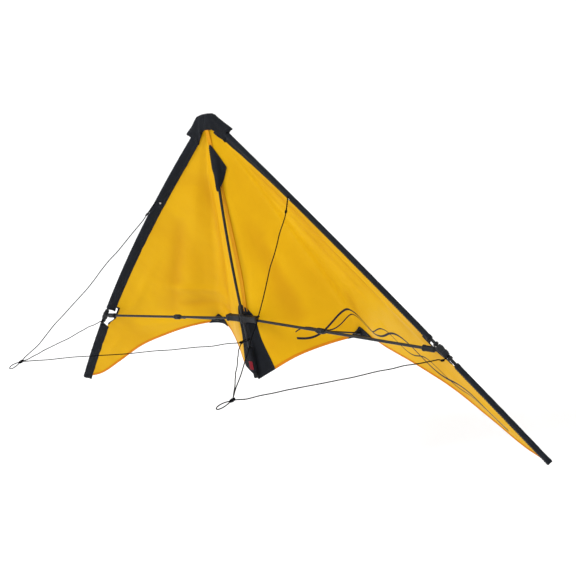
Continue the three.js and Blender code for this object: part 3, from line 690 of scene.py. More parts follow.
def stitches(name, rows, look, side="right", pitch=0.0042, length=0.0028):
    """Rows of raised stitches. Each row is its points on the cloth and the cloth's normals there."""
    vertices, faces, uv = [], [], []
    around = STITCH_SIDES
    ring = circle(around)
    for points, normals in rows:
        steps = np.linalg.norm(np.diff(points, axis=0), axis=1)
        along = np.concatenate([[0], np.cumsum(steps)])
        for middle in np.arange(pitch / 2, along[-1] - pitch / 2, pitch):
            places = [np.array([np.interp(middle + s * length / 2, along, points[:, k]) for k in range(3)])
                      for s, _, _ in STITCH_STATIONS]
            normal = np.array([np.interp(middle, along, normals[:, k]) for k in range(3)])
            run = places[3] - places[0]
            run /= max(np.linalg.norm(run), 1e-9)
            cross = np.cross(run, normal)
            start = len(vertices)
            for place, (_, height, fat) in zip(places, STITCH_STATIONS):
                vertices += [place + normal * THREAD_RADIUS * (height + 0.8 * s * fat)
                             + cross * THREAD_RADIUS * c * fat for c, s in ring]
            for k in range(3):
                for i in range(around):
                    low, after = start + around * k, (i + 1) % around
                    faces.append((low + i, low + after, low + around + after, low + around + i))
                    uv += [((i + a) * THREAD_RADIUS, (k + b) * length / 3)
                           for a, b in ((0, 0), (1, 0), (1, 1), (0, 1))]
            faces += [tuple(range(start + 5, start - 1, -1)), tuple(range(start + 18, start + 24))]
            uv += [(c * THREAD_RADIUS, s * THREAD_RADIUS) for c, s in ring] * 2
    return outward(add_piece(name, vertices, faces, np.array(uv), look, side))


def join(name, *parts):
    """Several meshes as one piece, under the given name."""
    bpy.ops.object.select_all(action="DESELECT")
    for part in parts:
        part.select_set(True)
    bpy.context.view_layer.objects.active = parts[0]
    bpy.ops.object.join()
    parts[0].name = parts[0].data.name = name
    return parts[0]


def fitted(piece, body, node=None):
    """Rides a body and stands for a CAD node, by default the one that the piece is named after."""
    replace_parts(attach(piece, body), node or piece.name.removesuffix("_visual"))


def bend_with_wing(piece):
    """Bakes the piece's transform into its mesh."""
    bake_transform(piece)


def mix(a, b, t):
    return a + (b - a) * t


# ---- soft pieces of one wing ----
SEAM_GAP = 0.0001
SLIT_HALF_WIDTH = 0.0032
SLIT_EASE = 0.008
CUTOUT_EASE = (0.003, 0.014)  # how far the cloth's edge curves before and after each end of the cut-out
CUTOUT_DEPTH = 0.0085
SEWN_IN = 0.004  # how far the cloth reaches into the sleeve
LAST_ROW = 0.9995


def seam_start(v):
    """x at which a sail half begins: on the seam, or beside the spine in the slit."""
    z = LE_TOP[2] + (TAIL_Z - LE_TOP[2]) * np.asarray(v, float)
    inside = ease(z, SLIT[0], SLIT[0] + SLIT_EASE) * (1 - ease(z, SLIT[1] - SLIT_EASE, SLIT[1]))
    return mix(SEAM_GAP, SLIT_HALF_WIDTH, inside)


def edge_gap(v):
    """How far the cloth stays from the edge rod's axis, which is more in the cut-out than in the sleeve."""
    before, after = CUTOUT_EASE
    opened = ease(v, CUTOUT[0] - before, CUTOUT[0] + after)
    bare = opened * (1 - ease(v, CUTOUT[1] - after, CUTOUT[1] + before))
    return SLEEVE_WIDTH - SEWN_IN + CUTOUT_DEPTH * bare


def sail_half(side):
    a, b = np.meshgrid(np.linspace(0, 1, 171), np.linspace(0, 1, 161))
    v = mix(0.03, LAST_ROW, b)
    u = mix(near_seam(v, seam_start(v)), near_edge(v, edge_gap(v)), a)
    points = cloth(side, u, v)
    trailing = smooth(TRAILING_X, TRAILING_Z, np.clip(points[..., 0], 0, HALF_SPAN))
    layer = np.stack([points[..., 0], points[..., 2] - trailing], axis=-1)
    # painted shade: the fold valleys are marked so that the sail material darkens them towards its shaded
    # colour
    valley_shade = np.clip(slack(side, sail(u, v)) / -0.0024, 0, 1)
    return sheet(f"{side}_sail_cloth", points, 0.0003, f"{side}_sail", side, rub=0.004,
                 print_layer=layer if side == "right" else None, crease_shade=valley_shade)


def hem(side):
    a, b = np.meshgrid(np.linspace(0, 1, 171), np.linspace(0, 1, 5))
    u = mix(near_seam(np.ones(a.shape), 0.041), near_edge(np.ones(a.shape), SLEEVE_WIDTH - 0.003), a)
    v = mix(above_hem(u, 0.0052), 1.0, b)
    points = cloth(side, u, v)
    band = sheet(f"{side}_hem", points, 0.0010, "hem", side, rub=0.0015)
    normals = facing(points)
    row = (points[1] + normals[1] * 0.0005, normals[1])
    return band, stitches(f"{side}_hem_stitching", [row], "orange_thread", side)


KEEL_ROWS = np.array((0.712, 0.730, 0.770, 0.860, 0.950, 1.0))
KEEL_WIDTHS = {"right": np.array((0.0012, 0.008, 0.019, 0.025, 0.036, 0.042)),
               "left": np.array((0.012, 0.021, 0.026, 0.028, 0.037, 0.042))}


def keel_cloth(side):
    """Black reinforcement on both faces of the sail, from a point behind the T to the tail."""
    a, rows = np.meshgrid(np.linspace(0, 1, 17), np.linspace(KEEL_ROWS[0], KEEL_ROWS[-1], 46))
    u = near_seam(rows, mix(SEAM_GAP, smooth(KEEL_ROWS, KEEL_WIDTHS[side], rows), a))
    points = cloth(side, u, rows)
    patch = sheet(f"{side}_keel_cloth", points, 0.0022, "webbing", side, rub=0.0025)
    normals = facing(points)
    lines = [(points[:, -2] + normals[:, -2] * 0.0011, normals[:, -2]),
             (points[-3, :-1] + normals[-3, :-1] * 0.0011, normals[-3, :-1])]
    return patch, stitches(f"{side}_keel_stitching", lines, "dark_thread", side)


WHISKER_PATCH_TOP = 0.953
WHISKER_PATCH_WIDTH = (0.004, 0.098)  # at its top and at the trailing edge, as shares of a row of the sail
WHISKER_PATCH_LEAN = (0.009, -0.004)


def whisker_cloth(side):
    """The pointed patch that the whisker presses on."""
    middle = near_whisker()
    a, b = np.meshgrid(np.linspace(0, 1, 25), np.linspace(0, 1, 17))
    width = mix(*WHISKER_PATCH_WIDTH, b)
    u = middle + mix(*WHISKER_PATCH_LEAN, b) + (a - 0.5) * width
    v = mix(WHISKER_PATCH_TOP, LAST_ROW, b)
    points = cloth(side, u, v)
    patch = sheet(f"{side}_whisker_cloth", points, 0.0010, "webbing", side, PATCH_LIFT - 0.0004)
    backing = sheet(f"{side}_whisker_backing", points, 0.0022, "webbing", side, 0.0009)
    normals = facing(points)
    lift = PATCH_LIFT + 0.0001
    lines = [(points[1:, 2] + normals[1:, 2] * lift, normals[1:, 2]),
             (points[1:, -3] + normals[1:, -3] * lift, normals[1:, -3])]
    thread = stitches(f"{side}_whisker_stitching", lines, "dark_thread", side)
    return join(f"{side}_whisker_cloth", patch, backing), thread


def cutout_binding(side):
    """Black tape over the sail's raw edge where the sleeve is cut away."""
    a, b = np.meshgrid(np.linspace(0, 1, 5), np.linspace(0, 1, 41))
    v = mix(CUTOUT[0] - 0.008, CUTOUT[1] + 0.008, b)
    u = mix(near_edge(v, edge_gap(v) + 0.0035), near_edge(v, edge_gap(v) - 0.0004), a)
    points = cloth(side, u, v)
    return sheet(f"{side}_cutout_binding", points, 0.0011, "sleeve", side, rub=0.001)


def sleeve_frames(stations):
    centre, along = edge(stations), edge_direction(stations)
    inward = sail(near_edge(stations, SLEEVE_WIDTH), stations) - centre
    inward -= along * (inward * along).sum(-1)[..., None]
    inward /= np.linalg.norm(inward, axis=-1)[..., None]
    normal = np.cross(along, inward)
    normal /= np.linalg.norm(normal, axis=-1)[..., None]
    return centre, inward, normal


def sleeve_section(k, seed):
    """One section of the sleeve, slightly uneven: (distance inward, distance off the sail)."""
    wobble = noise.noise(Vector((k * 0.35, seed, 0))) * 0.00030
    pucker = 0.00018 * math.sin(k * 1.9 + seed)
    radius = SLEEVE_RADIUS - 0.0001 + wobble
    opening = 1.10
    turn = np.linspace(opening, 2 * math.pi - opening, 19)
    outline = [(radius * math.cos(t), radius * math.sin(t)) for t in turn]
    reach = SLEEVE_WIDTH + noise.noise(Vector((k * 0.22, seed, 4))) * 0.0009
    back = [(0.0045, -0.0033), (0.0075, -0.0019 - pucker), (0.011, -0.0010), (0.0142, -0.0009)]
    back.append((reach, -0.0006))
    front = [(x, -y) for x, y in back[::-1]]
    return outline + back + [(reach + 0.0002, 0)] + front


def edge_sleeve(side, name, span, stations, seed):
    places = np.linspace(*span, stations)
    centre, inward, normal = sleeve_frames(places)
    outer, inner = [], []
    for k in range(stations):
        section = sleeve_section(k, seed)
        ends = min(k, stations - 1 - k)
        swell = 1.10 if ends == 1 else 1.0
        outer.append([centre[k] + inward[k] * x * (1 if x > 0.006 else swell) + normal[k] * y * swell
                      for x, y in section])
        hole = ROD_RADIUS + 0.0006
        angles = np.arctan2([y for _, y in section], [x for x, _ in section])
        inner.append([centre[k] + hole * (inward[k] * math.cos(t) + normal[k] * math.sin(t)) for t in angles])
    body = loft(name, outer + inner[::-1], "sleeve", side, looped=True)
    rows = []
    for distance, face in ((0.0148, 0.0010), (0.0112, 0.0011)):
        for way in (1, -1):
            rows.append((centre + inward * distance + normal * face * way, normal * way))
    return body, stitches(f"{name}_stitching", rows, "dark_thread", side)


# ---- fittings of one wing ----
CONNECTOR = Vector(edge(CONNECTOR_AT))
EDGE_DOWN = Vector(edge_direction(CONNECTOR_AT))
SPREADER_OUT = CONNECTOR.normalized()
STANDOFF = SPREADER_OUT * (CONNECTOR.length * STANDOFF_AT)


def whisker_tip():
    step = 0.002
    u, v = near_whisker(), WHISKER_TIP_V
    across = sail(u + step, v) - sail(u - step, v)
    down = sail(u, v + step) - sail(u, v - step)
    normal = np.cross(across, down)
    normal /= np.linalg.norm(normal)
    normal = -normal if normal[1] > 0 else normal
    return Vector(sail(u, v) + normal * (PATCH_LIFT + 0.0016))


WHISKER_TIP = whisker_tip()
WHISKER_OUT = (WHISKER_TIP - STANDOFF).normalized()
CAP_LENGTH = 0.013


SPREADER_INNER = 0.012  # how far the spreader begins from the middle of the T
SPREADER_SHORT = 0.019  # how far it stops before the edge rod's axis


def rods(side):
    v = np.linspace(*ROD_SPAN, 90)
    rod = tube(f"{side}_edge_rod_visual", edge(v), ROD_RADIUS, "rod", side, 24,
               wear_and_shade=np.exp(-np.minimum(v - v[0], v[-1] - v) * 80))
    fitted(rod, f"{side}_wing")
    path = straight(SPREADER_OUT * SPREADER_INNER, CONNECTOR - SPREADER_OUT * SPREADER_SHORT, 59)
    at = np.linspace(0, 1, 60)
    spreader = tube(f"{side}_spreader_rod_visual", path, ROD_RADIUS, "rod", side, 24,
                    wear_and_shade=np.exp(-np.minimum(at, 1 - at) * 40))
    fitted(spreader, f"{side}_spreader")
    path = straight(STANDOFF + WHISKER_OUT * 0.008, WHISKER_TIP - WHISKER_OUT * 0.004, 20)
    fitted(tube(f"{side}_whisker_rod_visual", path, WHISKER_RADIUS, "rod", side, 18), f"{side}_whisker")


def connector(side):
    body = turned(f"{side}_edge_connector_visual", mm(
        (2.75, -11), (4.5, -11), (5.0, -10.4), (5.0, -8.4), (5.9, -7.4), (5.9, -2.2), (5.3, -1.6), (5.3, 1.6),
        (5.9, 2.2), (5.9, 7.4), (5.0, 8.4), (5.0, 10.4), (4.5, 11), (2.75, 11)),
        CONNECTOR, EDGE_DOWN, "rubber", side, looped=True)
    fitted(bevelled(body, 0.0003), f"{side}_wing")
    for name, start in (("upper", -0.017), ("lower", 0.0145)):
        ring = turned(f"{side}_{name}_stop_ring_visual", mm(
            (2.65, 0), (4.1, 0), (4.6, 0.5), (4.6, 1.6), (4.2, 1.9), (4.2, 2.1), (4.6, 2.4), (4.6, 3.5),
            (4.1, 4), (2.65, 4)), CONNECTOR + EDGE_DOWN * start, EDGE_DOWN, "rubber", side, looped=True)
        fitted(bevelled(ring, 0.0002), f"{side}_wing")
    socket = turned(f"{side}_spreader_socket_visual", mm(
        (0, 5.0), (3.4, 5.0), (3.0, 6.6), (2.3, 7.4), (2.3, 8.0), (2.8, 8.5), (2.8, 9.2), (2.3, 9.7),
        (2.3, 10.4), (2.8, 10.9), (2.8, 11.6), (2.4, 12.2), (2.6, 13.4), (4.6, 15.6), (4.8, 17), (4.8, 33.6),
        (5.3, 34.4), (5.3, 37.2), (4.9, 37.8), (2.7, 37.8), (2.7, 20), (0, 20)),
        CONNECTOR, -SPREADER_OUT, "rubber", side)
    fitted(bevelled(socket, 0.00025), f"{side}_spreader")


def standoff(side):
    clip = turned(f"{side}_standoff_clip_visual", mm(
        (2.6, -11), (3.5, -11), (3.9, -10.4), (4.2, -7.4), (5.1, -6.2), (5.1, 6.2), (4.2, 7.4), (3.9, 10.4),
        (3.5, 11), (2.6, 11)), STANDOFF, SPREADER_OUT, "rubber", side, looped=True)
    boss = turned(f"{side}_standoff_boss", mm(
        (0, 3.2), (4.2, 3.2), (3.9, 6.0), (3.1, 8.5), (2.9, 15.0), (3.4, 15.8), (3.4, 18.4), (3.0, 19),
        (1.65, 19), (1.65, 8.2), (0, 8.2)), STANDOFF, WHISKER_OUT, "rubber", side)
    fitted(bevelled(join(clip.name, clip, boss), 0.00025), f"{side}_whisker")
    cap = turned(f"{side}_whisker_cap_visual", mm(
        (0, 9), (1.6, 9), (1.6, 0), (2.5, 0), (2.8, 0.5), (2.7, 5), (3.1, 8), (3.2, 10.2), (2.9, 11.8),
        (2.1, 12.7), (1.0, 13), (0, 13)), WHISKER_TIP - WHISKER_OUT * CAP_LENGTH, WHISKER_OUT, "rubber", side)
    fitted(cap, f"{side}_whisker")


TIE_RADIUS = 0.0007


def tip_nock(side):
    end, along = Vector(edge(ROD_SPAN[1])), Vector(edge_direction(ROD_SPAN[1]))
    nock = turned(f"{side}_tip_nock_visual", mm(
        (0, -4), (3.0, -4), (3.1, 0), (2.9, 2.4), (2.3, 3.0), (2.3, 4.0), (2.9, 4.6), (2.8, 6.4), (2.2, 7.4),
        (0.9, 7.4), (0.8, 5.4), (0, 5.4)), end, along, "rubber", side)
    fitted(bevelled(nock, 0.0002), f"{side}_wing")
    one, two = frames_along(np.array([end, end + along]))
    middle = np.array(end + along * 0.0035)
    loop = [middle + 0.0031 * (one[0] * c + two[0] * s) for c, s in circle(24)]
    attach(tube(f"{side}_tip_line", loop, TIE_RADIUS, "line", side, 10, closed=True), f"{side}_wing")


# ---- lines ----
def barrel_knot(name, centre, axis, radius, length, turns, side, strand=0.0008):
    """Turns of line wound into a barrel, pulled tight, round a plain core."""
    axis = Vector(axis).normalized()
    one, two = (Vector(x[0]) for x in frames_along(np.array([centre, centre + axis])))
    path = []
    for t in np.linspace(0, 1, 16 * turns + 1):
        angle = 2 * math.pi * turns * t
        bulge = (radius - strand) * (0.45 + 0.55 * math.sin(math.pi * t) ** 0.5)
        spoke = one * math.cos(angle) + two * math.sin(angle)
        path.append(centre + axis * (length * (t - 0.5)) + spoke * bulge)
    coil = tube(name, np.array(path), strand, "line", side, 8)
    core = tube(f"{name}_core", np.array([centre + axis * (length * t) for t in np.linspace(-0.55, 0.55, 9)]),
                [0.3 * strand + 0.75 * (radius - strand) * math.sin(math.pi * t) ** 0.5
                 for t in np.linspace(0.03, 0.97, 9)], "line", side, 12)
    return join(name, coil, core)


def line_loop(name, start, direction, across, length, width, side, radius=LINE_DIAMETER / 2):
    direction, across = Vector(direction).normalized(), Vector(across).normalized()
    path = []
    for t in np.linspace(0, 2 * math.pi, 40, endpoint=False):
        pinch = width / 2 * math.sin(t) * (0.55 + 0.45 * math.sin(t / 2) ** 2)
        path.append(start + direction * (length / 2 * (1 - math.cos(t))) + across * pinch)
    return tube(name, np.array(path), radius, "line", side, 10, closed=True)


def twisted_tie(name, start, end, side):
    """A doubled line, its two strands laid round each other."""
    start, end = Vector(start), Vector(end)
    one, two = (Vector(x[0]) for x in frames_along(np.array([start, end])))
    strands = []
    for shift in (0, math.pi):
        path = []
        for t in np.linspace(0, 1, 33):
            angle = shift + 6 * math.pi * t
            path.append(start.lerp(end, t) + (one * math.cos(angle) + two * math.sin(angle)) * 0.00065)
        strands.append(tube(f"{name}_{len(strands)}", np.array(path), TIE_RADIUS, "line", side, 8))
    return join(name, *strands)


def eyelet(side):
    """The pale ring in the sleeve where the upper tie comes out."""
    centre, inward, normal = (values[0] for values in sleeve_frames(np.array([UPPER_TIE_AT])))
    front = normal if normal[1] < 0 else -normal
    profile = mm((0.8, -0.6), (2.0, -0.6), (2.2, 0.0), (2.0, 0.4), (1.5, 0.6), (0.9, 0.4))
    ring = turned(f"{side}_tie_eyelet", profile, centre + inward * 0.0066 + front * 0.0026, front, "eyelet",
                  side, 24, looped=True)
    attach(ring, f"{side}_wing")


def rod_hitch(name, side):
    """A loop from the outer knot round the bare rod, between the connector and its lower stop ring."""
    middle = CONNECTOR + EDGE_DOWN * 0.0126
    out = (middle - OUTER_KNOT).normalized()
    across = out.cross(EDGE_DOWN).normalized()
    grip = 0.0034
    start = OUTER_KNOT + out * 0.001
    neck = OUTER_KNOT + out * 0.005
    beside = middle - out * 0.001
    points = [start, neck + across * 0.0018, beside + across * grip]
    points += [middle + out * grip * math.cos(t) + across * grip * math.sin(t) for t in (0.9, 0.0, -0.9)]
    points += [beside - across * grip, neck - across * 0.0018, start]
    return tube(name, catmull(points, 0.0008), TIE_RADIUS, "line", side, 10)


def bridle(side):
    wing = f"{side}_wing"
    pull = (TOW - UPPER_KNOT).normalized()
    tie_start = Vector(edge(UPPER_TIE_AT)) + Vector((0, -0.0042, 0))
    tie = twisted_tie(f"{side}_upper_tie_visual", tie_start, UPPER_KNOT - pull * 0.003, side)
    upper = barrel_knot(f"{side}_upper_knot_visual", UPPER_KNOT, pull, 0.0023, 0.0066, 3, side)
    outer = barrel_knot(f"{side}_outer_knot_visual", OUTER_KNOT, TOW - OUTER_KNOT, 0.0023, 0.0060, 3, side)
    tow = barrel_knot(f"{side}_tow_knot_visual", TOW, (-0.1, -1, -0.1), 0.0031, 0.0096, 4, side, 0.0009)
    loop = line_loop(f"{side}_tow_loop_visual", TOW + Vector((-0.0004, -0.0046, -0.0004)),
                     (-0.17, -0.98, -0.08), (0, -0.08, 1), 0.024, 0.0075, side)
    hitch = rod_hitch(f"{side}_outer_tie_visual", side)
    for piece in (tie, upper, hitch, outer, tow, loop):
        fitted(piece, wing)
    legs = (("upper", UPPER_LEG, UPPER_KNOT, [tie, upper]), ("outer", OUTER_LEG, OUTER_KNOT, [hitch, outer]),
            ("inner", INNER_LEG, CENTRE_KNOT, [tow, loop]))
    for name, points, start, on_it in legs:
        path = catmull((start, *points, TOW), 0.004)
        leg = tube(f"{side}_bridle_{name}_line", path, LINE_DIAMETER / 2, "line", side, 10)
        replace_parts(leg, f"{side}_bridle_{name}_leg")
        if name == "inner":
            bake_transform(leg)
        else:
            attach(leg, wing)


# ---- centre ----
def spine():
    z = np.linspace(SPINE_BOTTOM, SPINE_TOP, 80)
    path = np.stack([0 * z, spine_y(z), z], axis=-1)
    rod = tube("spine_rod_visual", path, ROD_RADIUS, "rod", sides=24,
               wear_and_shade=np.exp(-np.minimum(z - z[0], z[-1] - z) * 90))
    fitted(rod, "root")
    cap = turned("spine_end_cap_visual", mm(
        (0, 8), (2.7, 8), (2.7, 0), (3.7, 0), (4.0, 0.5), (4.0, 2.2), (3.7, 2.6), (4.0, 3.0), (4.2, 8.4),
        (3.6, 10.2), (2.2, 11), (0, 11)), (0, 0, SPINE_BOTTOM + 0.008), (0, 0, -1), "rubber")
    fitted(bevelled(cap, 0.0002), "root")


T_CHANNEL = 0.0032  # half the channel's width, which stays the same along an arm


def centre_t():
    """A hub round the spine and two arms, each a channel closed in front and on top."""
    hub = turned("centre_t_visual", mm(
        (2.7, -9), (5.2, -9), (5.8, -8.4), (5.8, -6.6), (6.2, -6.0), (6.2, 6.0), (5.8, 6.6), (5.8, 8.4),
        (5.2, 9), (2.7, 9)), (0, 0, 0), (0, 0, 1), "rubber", looped=True, segments=40)
    parts = [hub]
    section = mm((-6.0, -5.0), (-4.9, -6.0), (-3.2, -6.0), (-3.0, -5.0), (-3.0, -1.0), (-2.9, 0.9),
                 (-2.1, 2.2), (-0.9, 2.9), (0.6, 3.1), (5.0, 3.1), (5.6, 3.7), (5.6, 5.2), (4.6, 6.0),
                 (-4.6, 6.0), (-6.0, 4.8))
    stations = ((0.004, 1.0), (0.012, 1.0), (0.0135, 0.93), (0.0355, 0.93), (0.037, 1.04), (0.0413, 1.04),
                (T_ARM, 0.97))

    def swollen(value, scale):
        return value * scale if abs(value) > T_CHANNEL else value

    for sign in (1, -1):
        rings = [[(sign * x, swollen(y, scale), swollen(z, scale)) for y, z in section]
                 for x, scale in stations]
        parts.append(sharpen(loft(f"t_arm_{sign}", rings, "rubber")))
    fitted(bevelled(join("centre_t_visual", *parts), 0.00035), "root")


EAR_RUN = np.array((0.767, -0.642))  # the way each end of the nose cap points, in x and z
NOSE_INNER = np.array(mm((0, 350), (12, 350.5), (20, 347), (30, 336), (43, 321)))  # x and z of the lower edge
NOSE_OUTER = np.array(mm((0, 379.5), (12, 379), (23, 376.5), (40, 364), (61.5, 346)))
NOSE_FRONT, NOSE_BACK = mm((10.0, 9.9, 9.8, 9.6, 9.8), (29.2, 28.0, 25.8, 24.8, 23.8))  # y at the same places
NOSE_END = 4


def squared(value, power):
    """A sine or cosine drawn out towards 1 and -1, which squares a circle's corners."""
    return math.copysign(abs(value) ** power, value)


def nose_section(s):
    """One section of the folded cap, from s = 0 at the middle of the nose to the end of its ear."""
    places = range(NOSE_END + 1)
    low, high = (np.array([np.interp(s, places, line[:, i]) for i in range(2)])
                 for line in (NOSE_INNER, NOSE_OUTER))
    near, far = np.interp(s, places, NOSE_FRONT), np.interp(s, places, NOSE_BACK)
    crinkle = 0.0005 * math.sin(2.3 * s) if 0 < s < 3.75 else 0.0
    spread, ear = ease(s, 1.0, 3.2), ease(s, 3.0, NOSE_END)
    ring = []
    for c, n in circle(44):
        across = 0.5 + 0.5 * squared(c, 0.32)
        depth = 0.5 + 0.5 * squared(n, 0.45)
        snug = 0.0024 + 0.0036 * math.exp(-(((across - 0.74) / 0.2) ** 2))
        half = mix((far - near) / 2 * (1 - 0.42 * across**3), snug, spread)
        y = mix((near + far) / 2, 0.0168, spread) + half * (2 * depth - 1)
        fold = crinkle * math.sin(5.0 * across + s) * (1 if depth > 0.5 else 1.6)
        flare = 1 + 0.09 * across**6 * ear
        x, z = mix(low, high, flare * across) - EAR_RUN * 0.007 * ease(1 - across, 0, 0.3) * ear
        ring.append((x, y + fold, z))
    return ring


def nose_half(side):
    """One half of the folded webbing cap: sections from the middle of the nose out along the leading edge."""
    rings = [nose_section(s) for s in np.linspace(0, NOSE_END, 33)]
    end = np.array(rings[-1])
    middle = end.mean(axis=0)
    rings.append((middle + (end - middle) * (0.99, 0.70, 0.99)).tolist())
    run = np.array(rings[-3]).mean(axis=0) - middle
    run /= np.linalg.norm(run)
    rings.append((np.array(rings[-1]) + run * 0.0015).tolist())
    cap = loft(f"{side}_nose_webbing", rings, "webbing", side)
    rows = []
    for k in (2, 30):
        front = np.array(rings[k])[23:44]
        rows.append((front + (0, -0.0001, 0), np.tile((0, -1.0, 0), (len(front), 1))))
    thread = stitches(f"{side}_nose_stitching", rows, "dark_thread", side)
    for piece in (cap, thread):
        bend_with_wing(piece)
    return cap


def seam_tape():
    """Orange tape down both faces of the seam, split where the spine goes through."""
    strips = []
    z = np.linspace(0.352, 0.010, 120)
    v = (LE_TOP[2] - z) / (LE_TOP[2] - TAIL_Z)
    for side in SIDES:
        for face, lift in (("front", 0.0005), ("back", -0.0005)):
            a, heights = np.meshgrid(np.linspace(0, 1, 6), z)
            start = seam_start(v)[:, None]
            x = mix(start, 0.0050, a)
            points = np.stack([x, np.broadcast_to(seam_y(heights), x.shape), heights], axis=-1)
            strips.append(sheet(f"seam_{side}_{face}", points, 0.0004, "tape", side, lift=lift, rub=0.001))
    tape = join("seam_tape", *strips)
    fitted(tape, "root", "centre_seam")
    rows = []
    for x in (-0.0036, 0.0036):
        points = np.stack([0 * z + x, seam_y(z) - 0.0008, z], axis=-1)
        rows.append((points, np.tile((0, -1.0, 0), (len(z), 1))))
    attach(stitches("seam_stitching", rows, "orange_thread"), "root")


def spine_cover():
    """The four-sided patch that covers the slit, drawn over the spine where it comes out below."""
    top, corner, bottom = 0.324, 0.280, 0.240
    a, z = np.meshgrid(np.linspace(-1, 1, 33), np.linspace(top, bottom, 41))
    spread = np.where(z > corner, (top - z) / (top - corner), (z - bottom) / (corner - bottom))
    x = a * (0.0022 + 0.0185 * np.clip(spread, 0, 1) ** 0.9)
    v = (LE_TOP[2] - z) / (LE_TOP[2] - TAIL_Z)
    lining = sail(near_seam(v, np.abs(x)), v)[..., 1] - 0.0006
    over_rod = np.minimum(lining, spine_y(z) - ROD_RADIUS) - 0.0012
    beside = ease(np.abs(x), 0.003, 0.012)
    points = np.stack([x, mix(over_rod, lining - 0.0006, beside), z], axis=-1)
    patch = sheet("spine_patch_visual", points, 0.0009, "webbing", rub=0.0022)
    fitted(patch, "root")
    normals = facing(points)
    rows = [(points[2:-3, k] + normals[2:-3, k] * 0.0006, normals[2:-3, k]) for k in (2, -3)]
    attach(stitches("spine_patch_stitching", rows, "dark_thread"), "root")


def tail_pocket():
    """The webbing pocket round the spine's lower end and the plain tab sewn on it."""
    outer, inner = [], []
    for k, z in enumerate(np.linspace(-0.058, -0.107, 26)):
        depth = 0.0046 + 0.0003 * math.sin(k * 1.3)
        outer.append([(0.0054 * squared(c, 0.6), 0.0003 + depth * squared(s, 0.7), z) for c, s in circle(32)])
        inner.append([(0.0030 * c, 0.0030 * s, z) for c, s in circle(32)])
    fitted(loft("spine_pocket_visual", outer + inner[::-1], "webbing", looped=True), "root")
    a, b = np.meshgrid(np.linspace(-1, 1, 13), np.linspace(0, 1, 15))
    y = -0.0053 - 0.0003 * np.cos(a * 1.4) + 0.0002 * np.sin(b * 6)
    points = np.stack([a * 0.0045, y, mix(-0.084, -0.100, b)], axis=-1)
    fitted(sheet("tail_tab_visual", points, 0.0009, "tab", rub=0.001), "root")
    rows = [(points[k] + (0, -0.0005, 0), np.tile((0, -1.0, 0), (13, 1))) for k in (1, -2)]
    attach(stitches("tail_tab_stitching", rows, "dark_thread", pitch=0.0024, length=0.0016), "root")


def centre_bridle():
    knot = barrel_knot("centre_knot_visual", CENTRE_KNOT, (1, 0, 0), 0.0030, 0.0064, 3, "right")
    fitted(knot, "root", "centre_bridle_knot")
    loop = line_loop("centre_loop_visual", Vector((0, 0.0046, -0.042)), (0, -1, 0), (1, 0, 0), 0.0186, 0.0120,
                     "right", 0.0010)
    fitted(loop, "root", "centre_bridle_loop")


def wing_cloth(side):
    """One sail half with what is sewn to it, their transforms baked into the meshes."""
    canvas = sail_half(side)
    band, band_thread = hem(side)
    keel, keel_thread = keel_cloth(side)
    pressed, pressed_thread = whisker_cloth(side)
    trim = [band, band_thread, keel, keel_thread, pressed, pressed_thread, cutout_binding(side)]
    for piece, node in ((canvas, "sail"), (band, "trailing_edge_hem"), (keel, "keel_patch"),
                        (pressed, "whisker_patch")):
        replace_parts(piece, f"{side}_{node}")
    for piece in (canvas, *trim):
        bend_with_wing(piece)
    return canvas, trim


def sleeves(side):
    for part, span, stations, seed in (("upper", (0.02, CUTOUT[0]), 130, 1.0),
                                       ("lower", (CUTOUT[1], 0.998), 50, 7.0)):
        body, thread = edge_sleeve(side, f"{side}_{part}_sleeve", span, stations, seed)
        fitted(body, f"{side}_wing", f"{side}_edge_sleeve_{part}")
        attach(thread, f"{side}_wing")


# ---- build ----
for side in SIDES:
    bridle(side)
    eyelet(side)
centre_bridle()
for side in SIDES:
    canvas, trim = wing_cloth(side)
    sleeves(side)
    rods(side)
    connector(side)
    standoff(side)
    tip_nock(side)
caps = [nose_half(side) for side in SIDES]
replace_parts(caps[0], "nose_cap")
spine()
centre_t()
seam_tape()
spine_cover()
tail_pocket()


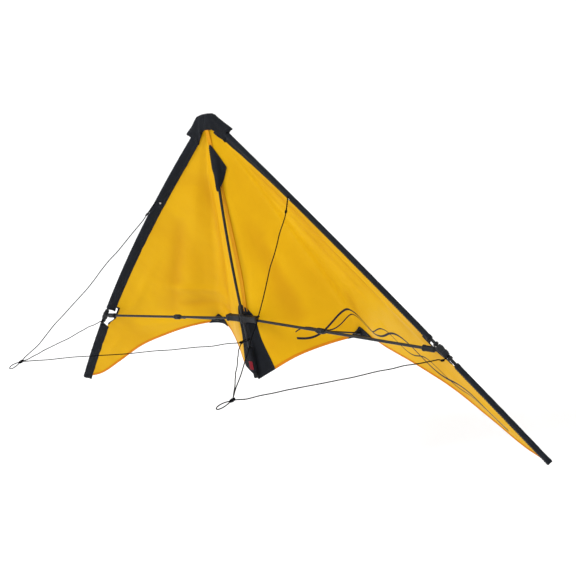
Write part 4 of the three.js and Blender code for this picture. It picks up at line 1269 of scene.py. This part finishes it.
# ---- stage ----
def studio():
    """A wide pale bowl, so that no horizon shows."""
    floor_z, radius, wall, curve, around = -0.36, 6.0, 4.0, 2.0, 96
    profile = [(0.01, 0.0), (1.5, 0.0), (3.5, 0.0)]
    profile += [(radius - curve + curve * math.sin(t), curve - curve * math.cos(t))
                for t in np.linspace(0, math.pi / 2, 13)]
    profile += [(radius, curve + wall)]
    vertices = [(r * c, r * s, floor_z + h) for r, h in profile for c, s in circle(around)]
    faces = [(k + i, k + (i + 1) % around, k + around + (i + 1) % around, k + around + i)
             for k in range(0, around * (len(profile) - 1), around) for i in range(around)]
    faces.append(tuple(range(around - 1, -1, -1)))
    mesh = bpy.data.meshes.new("studio_floor")
    mesh.from_pydata(vertices, [], faces)
    mesh.polygons.foreach_set("use_smooth", np.ones(len(mesh.polygons), bool))
    material, tree = new_tree("studio_paper")
    place = add_node(tree, "ShaderNodeTexCoord").outputs["Object"]
    mottle = noise_of(tree, place, 3.0)
    colour = mixed(tree, ranged(tree, mottle, 0.3, 0.7, 0, 1), rgb(0.90, 0.90, 0.90), rgb(0.88, 0.88, 0.885))
    shader = add_node(tree, "ShaderNodeBsdfPrincipled", {"Base Color": colour, "Roughness": 0.9,
                                                         "Specular IOR Level": 0.1, "Emission Strength": 0.12,
                                                         "Emission Color": rgb(1, 1, 1)})
    output = add_node(tree, "ShaderNodeOutputMaterial")
    tree.links.new(shader.outputs[0], output.inputs[0])
    mesh.materials.append(material)
    floor = bpy.data.objects.new("studio_floor", mesh)
    bpy.context.scene.collection.objects.link(floor)


def area_light(name, place, aim, size, power, colour=(1, 1, 1)):
    data = bpy.data.lights.new(name, "AREA")
    data.shape = "DISK"
    data.size = size
    data.energy = power
    data.color = colour
    light = bpy.data.objects.new(name, data)
    light.location = place
    light.rotation_mode = "QUATERNION"
    light.rotation_quaternion = (Vector(aim) - Vector(place)).to_track_quat("-Z", "Y")
    bpy.context.scene.collection.objects.link(light)


def lighting():
    world = bpy.data.worlds.new("studio_world")
    world.use_nodes = True
    world.node_tree.nodes["Background"].inputs[0].default_value = (1, 1, 1, 1)
    world.node_tree.nodes["Background"].inputs[1].default_value = 0.85
    bpy.context.scene.world = world
    bpy.context.scene.view_settings.view_transform = "Standard"
    middle = (0, 0.02, 0.08)
    area_light("key", (-1.6, -2.6, 3.0), middle, 1.3, 85)
    area_light("fill", (3.2, -1.8, 1.2), middle, 3.0, 10)
    area_light("back", (-1.0, 3.4, 2.6), middle, 3.0, 24)


studio()
lighting()
